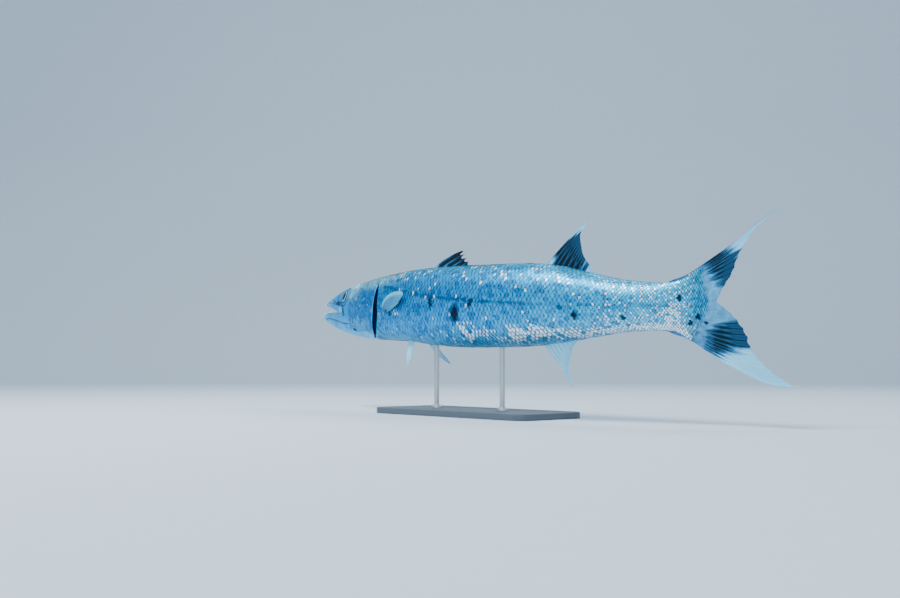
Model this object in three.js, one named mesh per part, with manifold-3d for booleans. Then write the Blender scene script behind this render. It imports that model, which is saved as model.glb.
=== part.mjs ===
// A great barracuda as a still, life-size display model on a plain stand. Millimetres, +Z up.
//
// Each piece of the fish is laid out along a straight body: x runs from the snout to the tail,
// y to the fish's right and z up from the body's centre line. The function pose then carries every
// point of it onto the curve of the swimming body, above the stand. The origin is the middle of the
// underside of the stand's base, the head points to -X and the left side of the fish faces -Y.

import * as THREE from "three";
import { mergeVertices } from "three/addons/utils/BufferGeometryUtils.js";
import Module from "manifold-3d";

const wasm = await Module();
wasm.setup();

const degrees = Math.PI / 180;
const gap = 0.3; // between pieces that touch

// The body
const standardLength = 1060; // snout tip to the root of the tail fin
const bodyBend = 18.4 * degrees; // how far the body turns from snout to tail root, in plan
const noseUp = 0.034; // rise of the centre line towards the head, per millimetre
const centreHeight = 215; // of the middle of the body above the floor
const headEnd = 318; // where one length of the body ends and the next begins
const frontTrunkEnd = 500;
const middleTrunkEnd = 690;
const rearTrunkEnd = 905;
const stalkEnd = 1068;

// Half of the body's outline at stations along x: height above and depth below the centre line,
// half width, and how far below the centre line the body is widest
const bodyOutline = {
  x: [-12, 2, 25, 53, 106, 170, 233, 318, 392, 466, 551, 636, 721, 795, 869, 954, 1007, 1045, 1068],
  top: [5, 9.5, 15, 21.5, 34.9, 48.9, 57.9, 68.3, 75, 79.3, 80.8, 80.2, 80, 74.4, 59.2, 43.6, 40, 42, 45],
  bottom: [25, 28.5, 35, 42.4, 54, 64.4, 69.3, 71.6, 73.2, 78.2, 81.2, 79, 75.5, 68, 56.3, 44.1, 42, 44, 47],
  width: [3, 4.5, 8.5, 15, 27, 38, 46, 56, 61.5, 63.8, 64.8, 63.6, 59.5, 53, 43, 30, 18.5, 8, 3],
  low: [9, 8, 8, 8, 9, 9, 8, 7, 5, 4, 3, 2, 1, 0, 0, 0, 0, 0, 0],
};
const sectionSquareness = 0.87; // power of the section's sine and cosine: 1 is an ellipse
const trunk = { step: 24, sides: 32 };
const skull = { step: 15, sides: 32, crowding: 1.4 };

// The mouth in the side view
const snout = { x: 13, z: 8, rounding: 14 }; // the upper jaw's tip
const chin = { x: -7, z: -24, rounding: 11 }; // the lower jaw's tip
const bluntestTip = 0.12; // share of its size to which the skin shrinks at a jaw's tip
const mouthCorner = 160; // station where the lips meet
const lips = {
  x: [-12, 2, 25, 62, 110, mouthCorner],
  upper: [5, 5, 4, 1.5, -7, -16],
  lower: [-23, -20.5, -15.5, -12.5, -13, -17],
};
const jawHinge = { x: 204, z: -40 };
const jawHeel = { x: 209, z: -95, overlap: 20 };
const belowHead = -110; // under all of the head
const cheekbone = {
  from: 36,
  to: 157,
  front: 6, // its height over the upper lip
  rear: 17,
  proud: 1.6,
  edge: 0.3,
  sunk: 4,
  rows: 8,
  columns: 4,
};
const teeth = {
  root: 5,
  sides: 5,
  share: { upper: 0.66, lower: 0.84 }, // of the way from the middle of the jaw to its side
  lean: { back: 0.12, inwards: 0.1 },
  fangs: { count: 2, spacing: 11, upper: 16, lower: 1, length: 10, radius: 2.1 },
  // clear: the most of the gape that a tooth takes, spread: shares of the length that the teeth vary by
  row: { count: 11, from: 38, to: 134, length: 6, radius: 1.5, clear: 0.7, spread: [0.8, 1.1] },
};

const eye = { x: 165, z: 23, radius: 12.5, depth: 9, dome: 3.6, segments: 20 };
const eyeRing = { inner: -1, crest: 1.8, shoulder: 2.6, foot: 4.8, height: 1.1, sunk: 6 }; // radii from the eye's edge
const nostrils = { front: { x: 138, z: 11, radius: 1.7 }, rear: { x: 145, z: 10, radius: 2.4 }, depth: 5, sides: 10 };
const outside = 20; // how far a cutting tool stands out of the skin

// The gill cover: a plate over the rear of the head, whose free edge stands off the shoulder
const gillCover = {
  top: 47 * degrees,
  bottom: -84 * degrees,
  edgeGap: 0.5 * degrees,
  thickness: 3,
  rim: 1.2,
  lift: 0.8,
  flare: { most: 7, least: 0.25, from: 0.12, power: 0.6, start: 0.2 }, // least and most: bottom and middle
  front: { top: 226, middle: 216, bottom: 216 },
  rear: { top: 318, middle: 322, bottom: 250 },
  rows: 7,
  columns: 12,
};
// The hollow under a gill cover reaches the shoulder only where the cover's edge is behind the
// station open, and it closes just behind that edge where it is ahead of the station closed
const gillChamber = {
  depth: 13,
  deepest: 0.6, // share of the way to the shoulder where the floor is at its full depth
  reach: 30,
  shoulder: 354,
  closed: 292,
  open: 314,
  behind: 16,
  fade: 10 * degrees,
};

// Fins: outlines in the side view, from the front of the base to the tip and back to the rear
const finRows = 7;
const finCupping = 0.0012; // of the paired fins, per millimetre of length
const finWeb = { base: 1, edge: 0.6 }; // thickness of the skin between the rays
const rayTaper = 0.7;
const firstDorsal = {
  base: [[447, 70], [500, 73], [552, 74]],
  front: [[447, 70], [475, 88], [497, 97], [524, 106], [546, 111]],
  margin: [[546, 111], [556, 97], [562, 89], [566, 79]],
  rays: 5,
  ray: { base: 4, tip: 1.2 },
  notch: 0.08,
};
const secondDorsal = {
  base: [[760, 68], [820, 61], [876, 48]],
  front: [[760, 68], [782, 89], [804, 108], [820, 121], [842, 139], [866, 154]],
  margin: [[866, 154], [847, 130], [848, 106], [856, 84], [882, 55]],
  rays: 10,
  ray: { base: 3.2, tip: 0.9 },
  notch: 0.03,
};
const analFin = {
  base: [[756, -64], [806, -56], [852, -47]],
  front: [[756, -64], [778, -88], [792, -100], [805, -118], [814, -131], [829, -148]],
  margin: [[829, -148], [818, -112], [826, -77], [840, -60], [856, -48]],
  rays: 10,
  ray: { base: 3, tip: 0.9 },
  notch: 0.03,
};
const tailFin = {
  rays: 10,
  ray: { base: 4.2, tip: 1 },
  notch: 0.035,
};
const upperTail = {
  ...tailFin,
  base: [[1000, 30], [1040, 34], [1052, 20], [1054, 0.4]],
  front: [[1000, 30], [1030, 42.4], [1059, 52], [1100, 76], [1147, 106], [1191, 139], [1228, 163]],
  margin: [[1228, 163], [1187, 131], [1155, 90], [1138, 53], [1122, 29], [1111, 6.8]],
};
const lowerTail = {
  ...tailFin,
  base: [[1000, -31], [1040, -36], [1052, -20], [1054, -0.4]],
  front: [[1000, -31], [1030, -45.6], [1066, -58], [1116, -88], [1171, -114], [1200, -124], [1240, -127]],
  margin: [[1240, -127], [1199, -99], [1172, -72], [1160, -42], [1137, -13], [1111, 5.8]],
};

// Paired fins: outlines in the fin's own plane, along it from its root and across it, and the
// right fin's root and directions
const pectoralFin = {
  base: [[-8, 9], [-8, -7]],
  front: [[-8, 9], [22, 19], [50, 19], [78, 12], [94, 3]],
  margin: [[94, 3], [88, -4], [66, -11], [36, -11], [14, -8]],
  rays: 11,
  ray: { base: 2.6, tip: 0.8 },
  notch: 0.02,
  root: [361, 58, -12],
  along: [82, 24, 34],
  across: [-34, 4, 82],
};
const pelvicFin = {
  base: [[-10, 9], [-10, -7]],
  front: [[-10, 9], [25, 10], [50, 6], [70, -3]],
  margin: [[70, -3], [58, -7], [34, -8], [12, -7]],
  rays: 6,
  ray: { base: 2.6, tip: 0.8 },
  notch: 0.03,
  root: [411, 21, -66],
  across: [-100, 0, -12],
  along: { left: [24, 28, -61], right: [30, 26, -53] },
};

// The stand
const stand = {
  under: 560, // place along the fish above the middle of the base
  sideways: -14, // sets the curved body's weight over the middle of the base
  length: 440,
  width: 170,
  thickness: 12,
  corner: 28,
  bevel: 1.5,
  rodSpacing: 190,
  rodRadius: 5,
  collar: { radius: 11, height: 5, bevel: 1 },
  rodSides: 20,
};

const mix = THREE.MathUtils.lerp;
const smooth = THREE.MathUtils.smoothstep;
const signedPower = (value, power) => Math.sign(value) * Math.abs(value) ** power;
const vector = (x, y, z) => new THREE.Vector3(x, y, z);

/** Where a point of the straight body lies once the fish is bent and raised on its stand. */
function pose({ x, y, z }) {
  const radius = standardLength / bodyBend;
  const heading = (x - standardLength / 2) / radius;
  const standHeading = (stand.under - standardLength / 2) / radius;
  return vector(
    radius * (Math.sin(heading) - Math.sin(standHeading)) - y * Math.sin(heading),
    radius * (1 - Math.cos(heading)) + y * Math.cos(heading) + stand.sideways,
    centreHeight + z + noseUp * (standardLength / 2 - x),
  );
}

/** A smooth line through the given values that never overshoots between them. */
function smoothLine(xs, ys) {
  const secants = xs.slice(1).map((x, i) => (ys[i + 1] - ys[i]) / (x - xs[i]));
  const slopes = xs.map((_, i) => {
    const before = secants[Math.max(i - 1, 0)];
    const after = secants[Math.min(i, secants.length - 1)];
    return before * after <= 0 ? 0 : (2 * before * after) / (before + after);
  });
  return (x) => {
    const inside = THREE.MathUtils.clamp(x, xs[0], xs[xs.length - 1]);
    const i = Math.max(0, xs.findIndex((station) => inside <= station) - 1);
    const span = xs[i + 1] - xs[i];
    const t = (inside - xs[i]) / span;
    const rise = t * t * (3 - 2 * t);
    const bend = t * (1 - t) * ((1 - t) * slopes[i] - t * slopes[i + 1]);
    return mix(ys[i], ys[i + 1], rise) + span * bend;
  };
}

const outline = Object.fromEntries(
  ["top", "bottom", "width", "low"].map((name) => [name, smoothLine(bodyOutline.x, bodyOutline[name])]),
);

const lipHeight = { upper: smoothLine(lips.x, lips.upper), lower: smoothLine(lips.x, lips.lower) };

/** A point of the skin at station x. Angle 0 faces the fish's right, 90 degrees faces up. */
function skin(x, angle, grow = 0) {
  const across = signedPower(Math.cos(angle), sectionSquareness);
  const up = signedPower(Math.sin(angle), sectionSquareness);
  const low = outline.low(x);
  const half = up > 0 ? outline.top(x) + low : outline.bottom(x) - low;
  return vector(x, (outline.width(x) + grow) * across, -low + (half + grow) * up);
}

/** The angle at which the skin at station x reaches height z. */
function angleAt(x, z) {
  const low = outline.low(x);
  const half = z + low > 0 ? outline.top(x) + low : outline.bottom(x) - low;
  const up = THREE.MathUtils.clamp((z + low) / half, -1, 1);
  return Math.asin(signedPower(up, 1 / sectionSquareness));
}

/** The point of the skin at station x and height z on one side (1 right, -1 left). */
function skinAt(x, z, side, grow = 0) {
  const point = skin(x, angleAt(x, z), grow);
  point.y *= side;
  return point;
}

/** The outward direction of the skin at station x and height z. */
function outwardAt(x, z, side) {
  const step = 4;
  const along = skinAt(x + step, z, side).sub(skinAt(x - step, z, side));
  const around = skinAt(x, z + step, side).sub(skinAt(x, z - step, side));
  return around.cross(along).multiplyScalar(side).normalize();
}

/** A solid from a closed geometry. */
function solidFrom(geometry) {
  const bare = geometry.clone();
  Object.keys(bare.attributes)
    .filter((name) => name !== "position")
    .forEach((name) => bare.deleteAttribute(name));
  const merged = mergeVertices(bare, 1e-4);
  return new wasm.Manifold(
    new wasm.Mesh({
      numProp: 3,
      vertProperties: new Float32Array(merged.attributes.position.array),
      triVerts: new Uint32Array(merged.index.array),
    }),
  );
}

/** A solid from points and the corners of its triangles, turned right side out. */
function solidOf(points, triangles) {
  const geometry = new THREE.BufferGeometry().setFromPoints(points);
  geometry.setIndex(triangles);
  const solid = solidFrom(geometry);
  if (solid.volume() > 0) return solid;
  geometry.setIndex([...triangles].reverse());
  return solidFrom(geometry);
}

/** A solid shaped on the straight body from a closed geometry and then posed. */
function posedSolid(geometry) {
  const posed = geometry.clone();
  const position = posed.attributes.position;
  for (let i = 0; i < position.count; i++) {
    position.setXYZ(i, ...pose(new THREE.Vector3().fromBufferAttribute(position, i)).toArray());
  }
  return solidFrom(posed);
}

/** The geometry of a solid. */
function geometryFrom(solid) {
  const { numProp, vertProperties, triVerts } = solid.getMesh();
  const positions = new Float32Array((vertProperties.length / numProp) * 3);
  for (let i = 0; i < positions.length / 3; i++) {
    positions.set(vertProperties.subarray(i * numProp, i * numProp + 3), i * 3);
  }
  const geometry = new THREE.BufferGeometry();
  geometry.setAttribute("position", new THREE.BufferAttribute(positions, 3));
  geometry.setIndex([...triVerts]);
  return geometry;
}

/** A posed solid lofted through rings of equal count. */
function loft(rings) {
  const sides = rings[0].length;
  const points = rings.flat();
  const triangles = [];
  for (let i = 0; i + 1 < rings.length; i++) {
    for (let j = 0; j < sides; j++) {
      const a = i * sides + j;
      const b = i * sides + ((j + 1) % sides);
      triangles.push(a, b, b + sides, a, b + sides, a + sides);
    }
  }
  [0, rings.length - 1].forEach((i) => {
    const centre = points.length;
    const middle = vector(0, 0, 0);
    rings[i].forEach((point) => middle.addScaledVector(point, 1 / sides));
    points.push(middle);
    for (let j = 0; j < sides; j++) {
      const a = i * sides + j;
      const b = i * sides + ((j + 1) % sides);
      triangles.push(...(i === 0 ? [centre, b, a] : [centre, a, b]));
    }
  });
  return solidOf(points.map(pose), triangles);
}

/** A posed solid between two surfaces over the same grid, split into triangles alike on both. */
function shell(rows, columns, outer, inner) {
  const points = [];
  [outer, inner].forEach((surface) => {
    for (let i = 0; i <= rows; i++) {
      for (let j = 0; j <= columns; j++) points.push(surface(i / rows, j / columns, j));
    }
  });
  const at = (side, i, j) => (side * (rows + 1) + i) * (columns + 1) + j;
  const triangles = [];
  const quad = (a, b, c, d) => triangles.push(a, b, c, a, c, d);
  for (let i = 0; i < rows; i++) {
    for (let j = 0; j < columns; j++) {
      quad(at(0, i, j), at(0, i + 1, j), at(0, i + 1, j + 1), at(0, i, j + 1));
      quad(at(1, i, j), at(1, i, j + 1), at(1, i + 1, j + 1), at(1, i + 1, j));
    }
    quad(at(0, i, 0), at(1, i, 0), at(1, i + 1, 0), at(0, i + 1, 0));
    quad(at(0, i + 1, columns), at(1, i + 1, columns), at(1, i, columns), at(0, i, columns));
  }
  for (let j = 0; j < columns; j++) {
    quad(at(0, 0, j + 1), at(1, 0, j + 1), at(1, 0, j), at(0, 0, j));
    quad(at(0, rows, j), at(1, rows, j), at(1, rows, j + 1), at(0, rows, j + 1));
  }
  return solidOf(points.map(pose), triangles);
}

/** A posed solid with the given side view that reaches across the whole head. */
function sideSlab(corners) {
  const longestEdge = 20;
  const halfWidth = 90;
  const fine = corners.flatMap(([x, z], i) => {
    const [nextX, nextZ] = corners[(i + 1) % corners.length];
    const count = Math.ceil(Math.hypot(nextX - x, nextZ - z) / longestEdge);
    return Array.from({ length: count }, (_, k) => {
      return new THREE.Vector2(mix(x, nextX, k / count), mix(z, nextZ, k / count));
    });
  });
  const slab = new THREE.ExtrudeGeometry(new THREE.Shape(fine), {
    depth: 2 * halfWidth,
    steps: 4,
    bevelEnabled: false,
  });
  slab.rotateX(Math.PI / 2);
  slab.translate(0, halfWidth, 0);
  return posedSolid(slab);
}

/** A closed round solid of the given profile, whose axis points along a direction. */
function turned(profile, sides, place, direction) {
  const lathe = new THREE.LatheGeometry(
    profile.map(([radius, height]) => new THREE.Vector2(radius, height)),
    sides,
  );
  lathe.applyQuaternion(new THREE.Quaternion().setFromUnitVectors(vector(0, 1, 0), direction));
  lathe.translate(place.x, place.y, place.z);
  return posedSolid(lathe);
}

/** The largest closed body of a solid, without its sealed hollows. */
function largest(solid) {
  return solid.decompose().reduce((best, piece) => (piece.volume() > best.volume() ? piece : best));
}

const joined = (solids) => wasm.Manifold.union(solids);

/** The station of a gill cover's edge at a share of the way from its bottom to its top. */
function coverEdge({ bottom, middle, top }, share) {
  const control = 2 * middle - (top + bottom) / 2;
  return (1 - share) ** 2 * bottom + 2 * share * (1 - share) * control + share ** 2 * top;
}

/** How far the gill opening is open behind its cover, from 0 to 1, at a share of the way up it. */
function gillOpenness(share) {
  return smooth(coverEdge(gillCover.rear, share), gillChamber.closed, gillChamber.open);
}

/** How far the skin is drawn in by the gill opening. */
function gillHollow(x, angle) {
  const raised = Math.atan2(Math.sin(angle), Math.abs(Math.cos(angle)));
  const share = THREE.MathUtils.inverseLerp(gillCover.bottom, gillCover.top, raised);
  const below = 1 - smooth(raised, gillCover.top - gillChamber.fade, gillCover.top);
  const across = below * gillOpenness(THREE.MathUtils.clamp(share, 0, 1));
  return gillChamber.depth * across * (1 - smooth(x, headEnd, gillChamber.shoulder));
}

/** Rings of the skin from one station to another, closer together near the first where asked. */
function skinRings(from, to, { step, sides, crowding = 1 }, grow = () => 0) {
  const count = Math.ceil((to - from) / step);
  return Array.from({ length: count + 1 }, (_, i) => {
    const x = mix(from, to, (i / count) ** crowding);
    return Array.from({ length: sides }, (_, j) => {
      const angle = (j / sides) * 2 * Math.PI;
      return skin(x, angle, grow(x, angle));
    });
  });
}

/** Rings of the head that close round the tip of a jaw. */
function jawRings(tip, to) {
  return skinRings(tip.x, to, skull).map((ring) => {
    const share = THREE.MathUtils.clamp((ring[0].x - tip.x) / tip.rounding, 0, 1);
    const size = Math.max(Math.sqrt(1 - (1 - share) ** 2), bluntestTip);
    return ring.map(({ x, y, z }) => vector(x, y * size, mix(tip.z, z, size)));
  });
}

const trunkLengths = [
  { name: "trunk_front", from: headEnd, to: frontTrunkEnd },
  { name: "trunk_middle", from: frontTrunkEnd, to: middleTrunkEnd },
  { name: "trunk_rear", from: middleTrunkEnd, to: rearTrunkEnd },
  { name: "tail_stalk", from: rearTrunkEnd, to: stalkEnd },
];

/** The rings of one length of the trunk, drawn in behind the gill covers. */
function trunkRings({ from, to }, grow = 0) {
  return skinRings(from + gap / 2, to - gap / 2, trunk, (x, angle) => grow - gillHollow(x, angle));
}

/** The whole trunk grown by the gap, to cut what grows from it. */
function trunkCutter() {
  const rings = trunkLengths.flatMap((length) => trunkRings(length, gap));
  const last = rings[rings.length - 1].map(({ x, y, z }) => vector(x + gap, y, z));
  return loft([...rings, last]);
}

/** The line of a jaw's edge in the side view, from ahead of the head to the mouth's corner. */
function lipLine(jaw, raised = 0) {
  const count = 9;
  return Array.from({ length: count + 1 }, (_, i) => {
    const x = mix(lips.x[0], mouthCorner, i / count);
    return [x, lipHeight[jaw](x) + raised];
  });
}

/** The side view of all that belongs to the lower jaw, with its seam moved back by a distance. */
function jawOutline(moved) {
  return [
    ...lipLine("lower", moved),
    [jawHinge.x + moved, jawHinge.z + moved],
    [jawHeel.x + moved, jawHeel.z],
    [jawHeel.x + moved, belowHead],
    [lips.x[0], belowHead],
  ];
}

/** The side view of the open mouth, a wedge between the jaws' edges. */
function gapeOutline() {
  return [...lipLine("lower"), ...lipLine("upper").reverse()];
}

/** A repeatable stream of numbers between 0 and 1. */
function seededRandom(seed) {
  let state = seed;
  return () => {
    state = (state * 16807) % 2147483647;
    return state / 2147483647;
  };
}

/** The teeth of one jaw as pointed cones, sunk into its edge on both sides. */
function jawTeeth(jaw, random) {
  const towards = jaw === "upper" ? -1 : 1;
  const { fangs, row } = teeth;
  const tips = [];
  for (let i = 0; i < fangs.count; i++) {
    tips.push({ x: fangs[jaw] + fangs.spacing * i, length: fangs.length, radius: fangs.radius });
  }
  for (let i = 0; i < row.count; i++) {
    const x = mix(row.from, row.to, (i + 0.5 * random()) / row.count);
    const room = lipHeight.upper(x) - lipHeight.lower(x);
    const length = Math.min(row.length, row.clear * room) * mix(...row.spread, random());
    tips.push({ x, length, radius: row.radius });
  }
  return tips.flatMap(({ x, length, radius }) =>
    [1, -1].map((side) => {
      const place = skinAt(x, lipHeight[jaw](x), side * teeth.share[jaw]);
      const lean = vector(teeth.lean.back, -teeth.lean.inwards * side, towards).normalize();
      const profile = [[0, -teeth.root], [radius, -teeth.root], [radius * 0.9, 0], [0, length]];
      return turned(profile, teeth.sides, place, lean);
    }),
  );
}

/** The frame of an eye: the place on the skin and the way that it looks. */
function eyePlace(side) {
  const looks = outwardAt(eye.x, eye.z, side);
  return { place: skinAt(eye.x, eye.z, side), looks };
}

/** An eyeball as a shallow dome on a round plug. */
function eyeball(side) {
  const { place, looks } = eyePlace(side);
  const arc = Array.from({ length: 6 }, (_, i) => {
    const angle = (i / 5) * 90 * degrees;
    return [eye.radius * Math.cos(angle), eye.dome * Math.sin(angle)];
  });
  return turned([[0, gap - eye.depth], [eye.radius, gap - eye.depth], ...arc], eye.segments, place, looks);
}

/** The round socket that an eyeball fits. */
function eyeSocket(side) {
  const { place, looks } = eyePlace(side);
  const radius = eye.radius + gap;
  const profile = [[0, -eye.depth], [radius, -eye.depth], [radius, outside], [0, outside]];
  return turned(profile, eye.segments, place, looks);
}

/** The raised rim of skin round an eye. */
function eyeRim(side) {
  const { place, looks } = eyePlace(side);
  const profile = [
    [0, -eyeRing.sunk],
    [eye.radius + eyeRing.foot, -eyeRing.sunk],
    [eye.radius + eyeRing.shoulder, eyeRing.height],
    [eye.radius + eyeRing.inner, eyeRing.crest],
    [0, eyeRing.crest],
  ];
  return turned(profile, eye.segments, place, looks);
}

/** The two nostrils of one side, as pits. */
function nostrilPits(side) {
  return [nostrils.front, nostrils.rear].map(({ x, z, radius }) => {
    const profile = [[0, -nostrils.depth], [radius, -nostrils.depth], [radius, outside], [0, outside]];
    return turned(profile, nostrils.sides, skinAt(x, z, side), outwardAt(x, z, side));
  });
}

/** The flat bone over the rear of the upper lip, raised from the skin and wider to its end. */
function lipPlate(side) {
  const surface = (grow) => (u, v) => {
    const x = mix(cheekbone.from, cheekbone.to, u);
    const height = mix(cheekbone.front, cheekbone.rear, u) * v;
    return skinAt(x, lipHeight.upper(x) + gap + height, side, grow(v));
  };
  const rounded = (v) => Math.max(cheekbone.proud * Math.sin(v * Math.PI), cheekbone.edge);
  return shell(cheekbone.rows, cheekbone.columns, surface(rounded), surface(() => -cheekbone.sunk));
}

/** A point over or under the skin of the gill opening, u along the body and v up from below. */
function coverPoint(side, u, v, ends, margin, grow) {
  const x = mix(coverEdge(ends.front, v) + ends.moved, ends.rear(v), u);
  const point = skin(x, mix(gillCover.bottom + margin, gillCover.top - margin, v), grow);
  point.y *= side;
  return point;
}

/** A gill cover, thin at its free edge and standing off the shoulder. */
function gillPlate(side) {
  const ends = { front: gillCover.front, moved: gap, rear: (v) => coverEdge(gillCover.rear, v) };
  const { most, least, from, power, start } = gillCover.flare;
  const stand = (u, v) => {
    const across = mix(least, 1, Math.sin(Math.PI * mix(from, 1, v)) ** power);
    return gillCover.lift + most * across * smooth(u, start, 1);
  };
  const surface = (under) => (u, v) => {
    const depth = under * mix(gillCover.thickness, gillCover.rim, u);
    return coverPoint(side, u, v, ends, gillCover.edgeGap, stand(u, v) - depth);
  };
  return shell(gillCover.rows, gillCover.columns, surface(0), surface(1));
}

/** The room under a gill cover, which opens behind it. */
function gillRoom(side) {
  const closes = (v) => coverEdge(gillCover.rear, v) + gillChamber.behind;
  const rear = (v) => mix(closes(v), headEnd + outside, gillOpenness(v));
  const ends = { front: gillCover.front, moved: 0, rear };
  const floor = (u, v) => {
    const depth = mix(gillCover.thickness + gap, gillChamber.depth, smooth(u, 0, gillChamber.deepest));
    return -depth * (1 - (1 - gillOpenness(v)) * smooth(u, gillChamber.deepest, 1));
  };
  const surface = (grow) => (u, v) => coverPoint(side, u, v, ends, 0, grow(u, v));
  return shell(gillCover.rows, gillCover.columns, surface(() => gillChamber.reach), surface(floor));
}

/** The head without its lower jaw, with all that is fused to it. */
function headSolid() {
  const sides = [1, -1];
  const skullSolid = loft(jawRings(snout, headEnd - gap / 2));
  const grown = [...sides.map(lipPlate), ...jawTeeth("upper", seededRandom(11)), ...sides.map(eyeRim)];
  const cut = [sideSlab(jawOutline(gap)), ...sides.map(gillRoom)];
  const bare = skullSolid.subtract(joined([...cut, sideSlab(gapeOutline())]));
  const pits = [...sides.map(eyeSocket), ...sides.flatMap(nostrilPits)];
  return bare.add(joined(grown)).subtract(joined([...cut, ...pits]));
}

/** The lower jaw with its teeth. */
function jawSolid() {
  const blank = loft(jawRings(chin, jawHeel.x + jawHeel.overlap)).intersect(sideSlab(jawOutline(0)));
  return blank.add(joined(jawTeeth("lower", seededRandom(23))));
}

/** A fin as a web of skin with a raised ray in every other column, placed by a function. */
function finSolid({ base, front, margin, rays, ray, notch }, place) {
  const [root, leading, edge] = [base, front, margin].map(
    (points) => new THREE.SplineCurve(points.map(([a, b]) => new THREE.Vector2(a, b))),
  );
  const columns = 2 * (rays - 1);
  const isRay = (column) => column % 2 === 0;
  const middle = (u, v, column) => {
    const reach = isRay(column) ? v : v * (1 - notch);
    const straight = root.getPointAt(u).lerp(edge.getPointAt(u), reach);
    const chord = root.getPointAt(0).lerp(edge.getPointAt(0), reach);
    return straight.add(leading.getPointAt(reach).sub(chord).multiplyScalar((1 - u) ** 2));
  };
  const face = (side) => (v, u, column) => {
    const web = mix(finWeb.base, finWeb.edge, v);
    const thickness = isRay(column) ? Math.max(mix(ray.base, ray.tip, v ** rayTaper), web) : web;
    return place(middle(u, v, column), (side * thickness) / 2);
  };
  return shell(finRows, columns, face(1), face(-1));
}

/** Places a point of a fin that stands on the middle of the body. */
const medianPlace = (point, offset) => vector(point.x, offset, point.y);

/** Places the points of a paired fin on one side of the body. */
function pairedPlace({ root, along, across }, side) {
  const length = vector(...along).normalize();
  const normal = length.clone().cross(vector(...across)).normalize();
  const width = normal.clone().cross(length);
  return (point, offset) => {
    const cupped = finCupping * point.x ** 2;
    const placed = vector(...root)
      .addScaledVector(length, point.x)
      .addScaledVector(width, point.y)
      .addScaledVector(normal, offset + cupped);
    placed.y *= side;
    return placed;
  };
}

/** The base of the stand, a plate with round corners and broken edges. */
function standBase() {
  const { length, width, thickness, corner, bevel } = stand;
  const [halfLength, halfWidth] = [length / 2 - bevel, width / 2 - bevel];
  const shape = new THREE.Shape();
  shape.absarc(halfLength - corner, halfWidth - corner, corner, 0, 90 * degrees);
  shape.absarc(corner - halfLength, halfWidth - corner, corner, 90 * degrees, 180 * degrees);
  shape.absarc(corner - halfLength, corner - halfWidth, corner, 180 * degrees, 270 * degrees);
  shape.absarc(halfLength - corner, corner - halfWidth, corner, 270 * degrees, 360 * degrees);
  const plate = new THREE.ExtrudeGeometry(shape, {
    depth: thickness - 2 * bevel,
    bevelSize: bevel,
    bevelThickness: bevel,
    bevelSegments: 1,
    curveSegments: 8,
  });
  plate.translate(0, 0, bevel);
  return solidFrom(plate);
}

/** A rod of the stand with the collar at its foot, cut to the fish's belly. */
function standRod(along, cutter) {
  const { rodRadius, collar, rodSides, thickness } = stand;
  const foot = pose(vector(stand.under + along, 0, 0));
  const rod = new THREE.LatheGeometry(
    [
      [0, 0],
      [collar.radius, 0],
      [collar.radius, collar.height - collar.bevel],
      [collar.radius - collar.bevel, collar.height],
      [rodRadius, collar.height],
      [rodRadius, centreHeight - thickness],
      [0, centreHeight - thickness],
    ].map(([radius, height]) => new THREE.Vector2(radius, height)),
    rodSides,
  );
  rod.rotateX(Math.PI / 2);
  rod.translate(foot.x, foot.y, thickness + gap);
  return solidFrom(rod).subtract(cutter);
}

/** A material of the finished model. */
function material(color, roughness, metalness = 0) {
  return new THREE.MeshStandardMaterial({ color, roughness, metalness, flatShading: true });
}

const finish = {
  silver: material(0x9fb4bf, 0.35, 0.4),
  pale: material(0xdfe8ea, 0.4, 0.2),
  eye: material(0x20262a, 0.1),
  darkFin: material(0x2c3540, 0.5),
  paleFin: material(0xd5e2e4, 0.45),
  plate: material(0xd8dcde, 0.5),
  rod: material(0xb8bcc0, 0.3, 1),
};

const barracuda = new THREE.Group();

/** Adds one named piece, as its largest closed body. */
function addPiece(name, solid, surface) {
  const mesh = new THREE.Mesh(geometryFrom(largest(solid)), surface);
  mesh.name = name;
  barracuda.add(mesh);
}

const cutter = trunkCutter();
const ofSide = { left: -1, right: 1 };

addPiece("head", headSolid(), finish.silver);
addPiece("lower_jaw", jawSolid(), finish.silver);
trunkLengths.forEach((length) => addPiece(length.name, loft(trunkRings(length)), finish.silver));
Object.entries(ofSide).forEach(([name, side]) => {
  addPiece(`eye_${name}`, eyeball(side), finish.eye);
  addPiece(`gill_cover_${name}`, gillPlate(side), finish.silver);
  const pectoral = finSolid(pectoralFin, pairedPlace(pectoralFin, side));
  addPiece(`pectoral_fin_${name}`, pectoral.subtract(cutter), finish.paleFin);
  const pelvicPose = { ...pelvicFin, along: pelvicFin.along[name] };
  const pelvic = finSolid(pelvicFin, pairedPlace(pelvicPose, side));
  addPiece(`pelvic_fin_${name}`, pelvic.subtract(cutter), finish.paleFin);
});
addPiece("first_dorsal_fin", finSolid(firstDorsal, medianPlace).subtract(cutter), finish.darkFin);
addPiece("second_dorsal_fin", finSolid(secondDorsal, medianPlace).subtract(cutter), finish.darkFin);
addPiece("anal_fin", finSolid(analFin, medianPlace).subtract(cutter), finish.paleFin);
addPiece("tail_fin_upper", finSolid(upperTail, medianPlace).subtract(cutter), finish.darkFin);
addPiece("tail_fin_lower", finSolid(lowerTail, medianPlace).subtract(cutter), finish.darkFin);
addPiece("stand_base", standBase(), finish.plate);
addPiece("stand_rod_front", standRod(-stand.rodSpacing / 2, cutter), finish.rod);
addPiece("stand_rod_rear", standRod(stand.rodSpacing / 2, cutter), finish.rod);

export default barracuda;
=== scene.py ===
"""Looks of a life-size barracuda, a still display model on a plain stand.

The fish is laid out along a straight body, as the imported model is: x runs from the snout to the
tail, y to the fish's right and z up from the body's centre line, all in millimetres. BodyShape
holds the outline and carries every finished point onto the curve of the swimming body, in metres.
"""

import logging
import math
from collections.abc import Callable
from dataclasses import dataclass, field, replace
from enum import Enum

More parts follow.
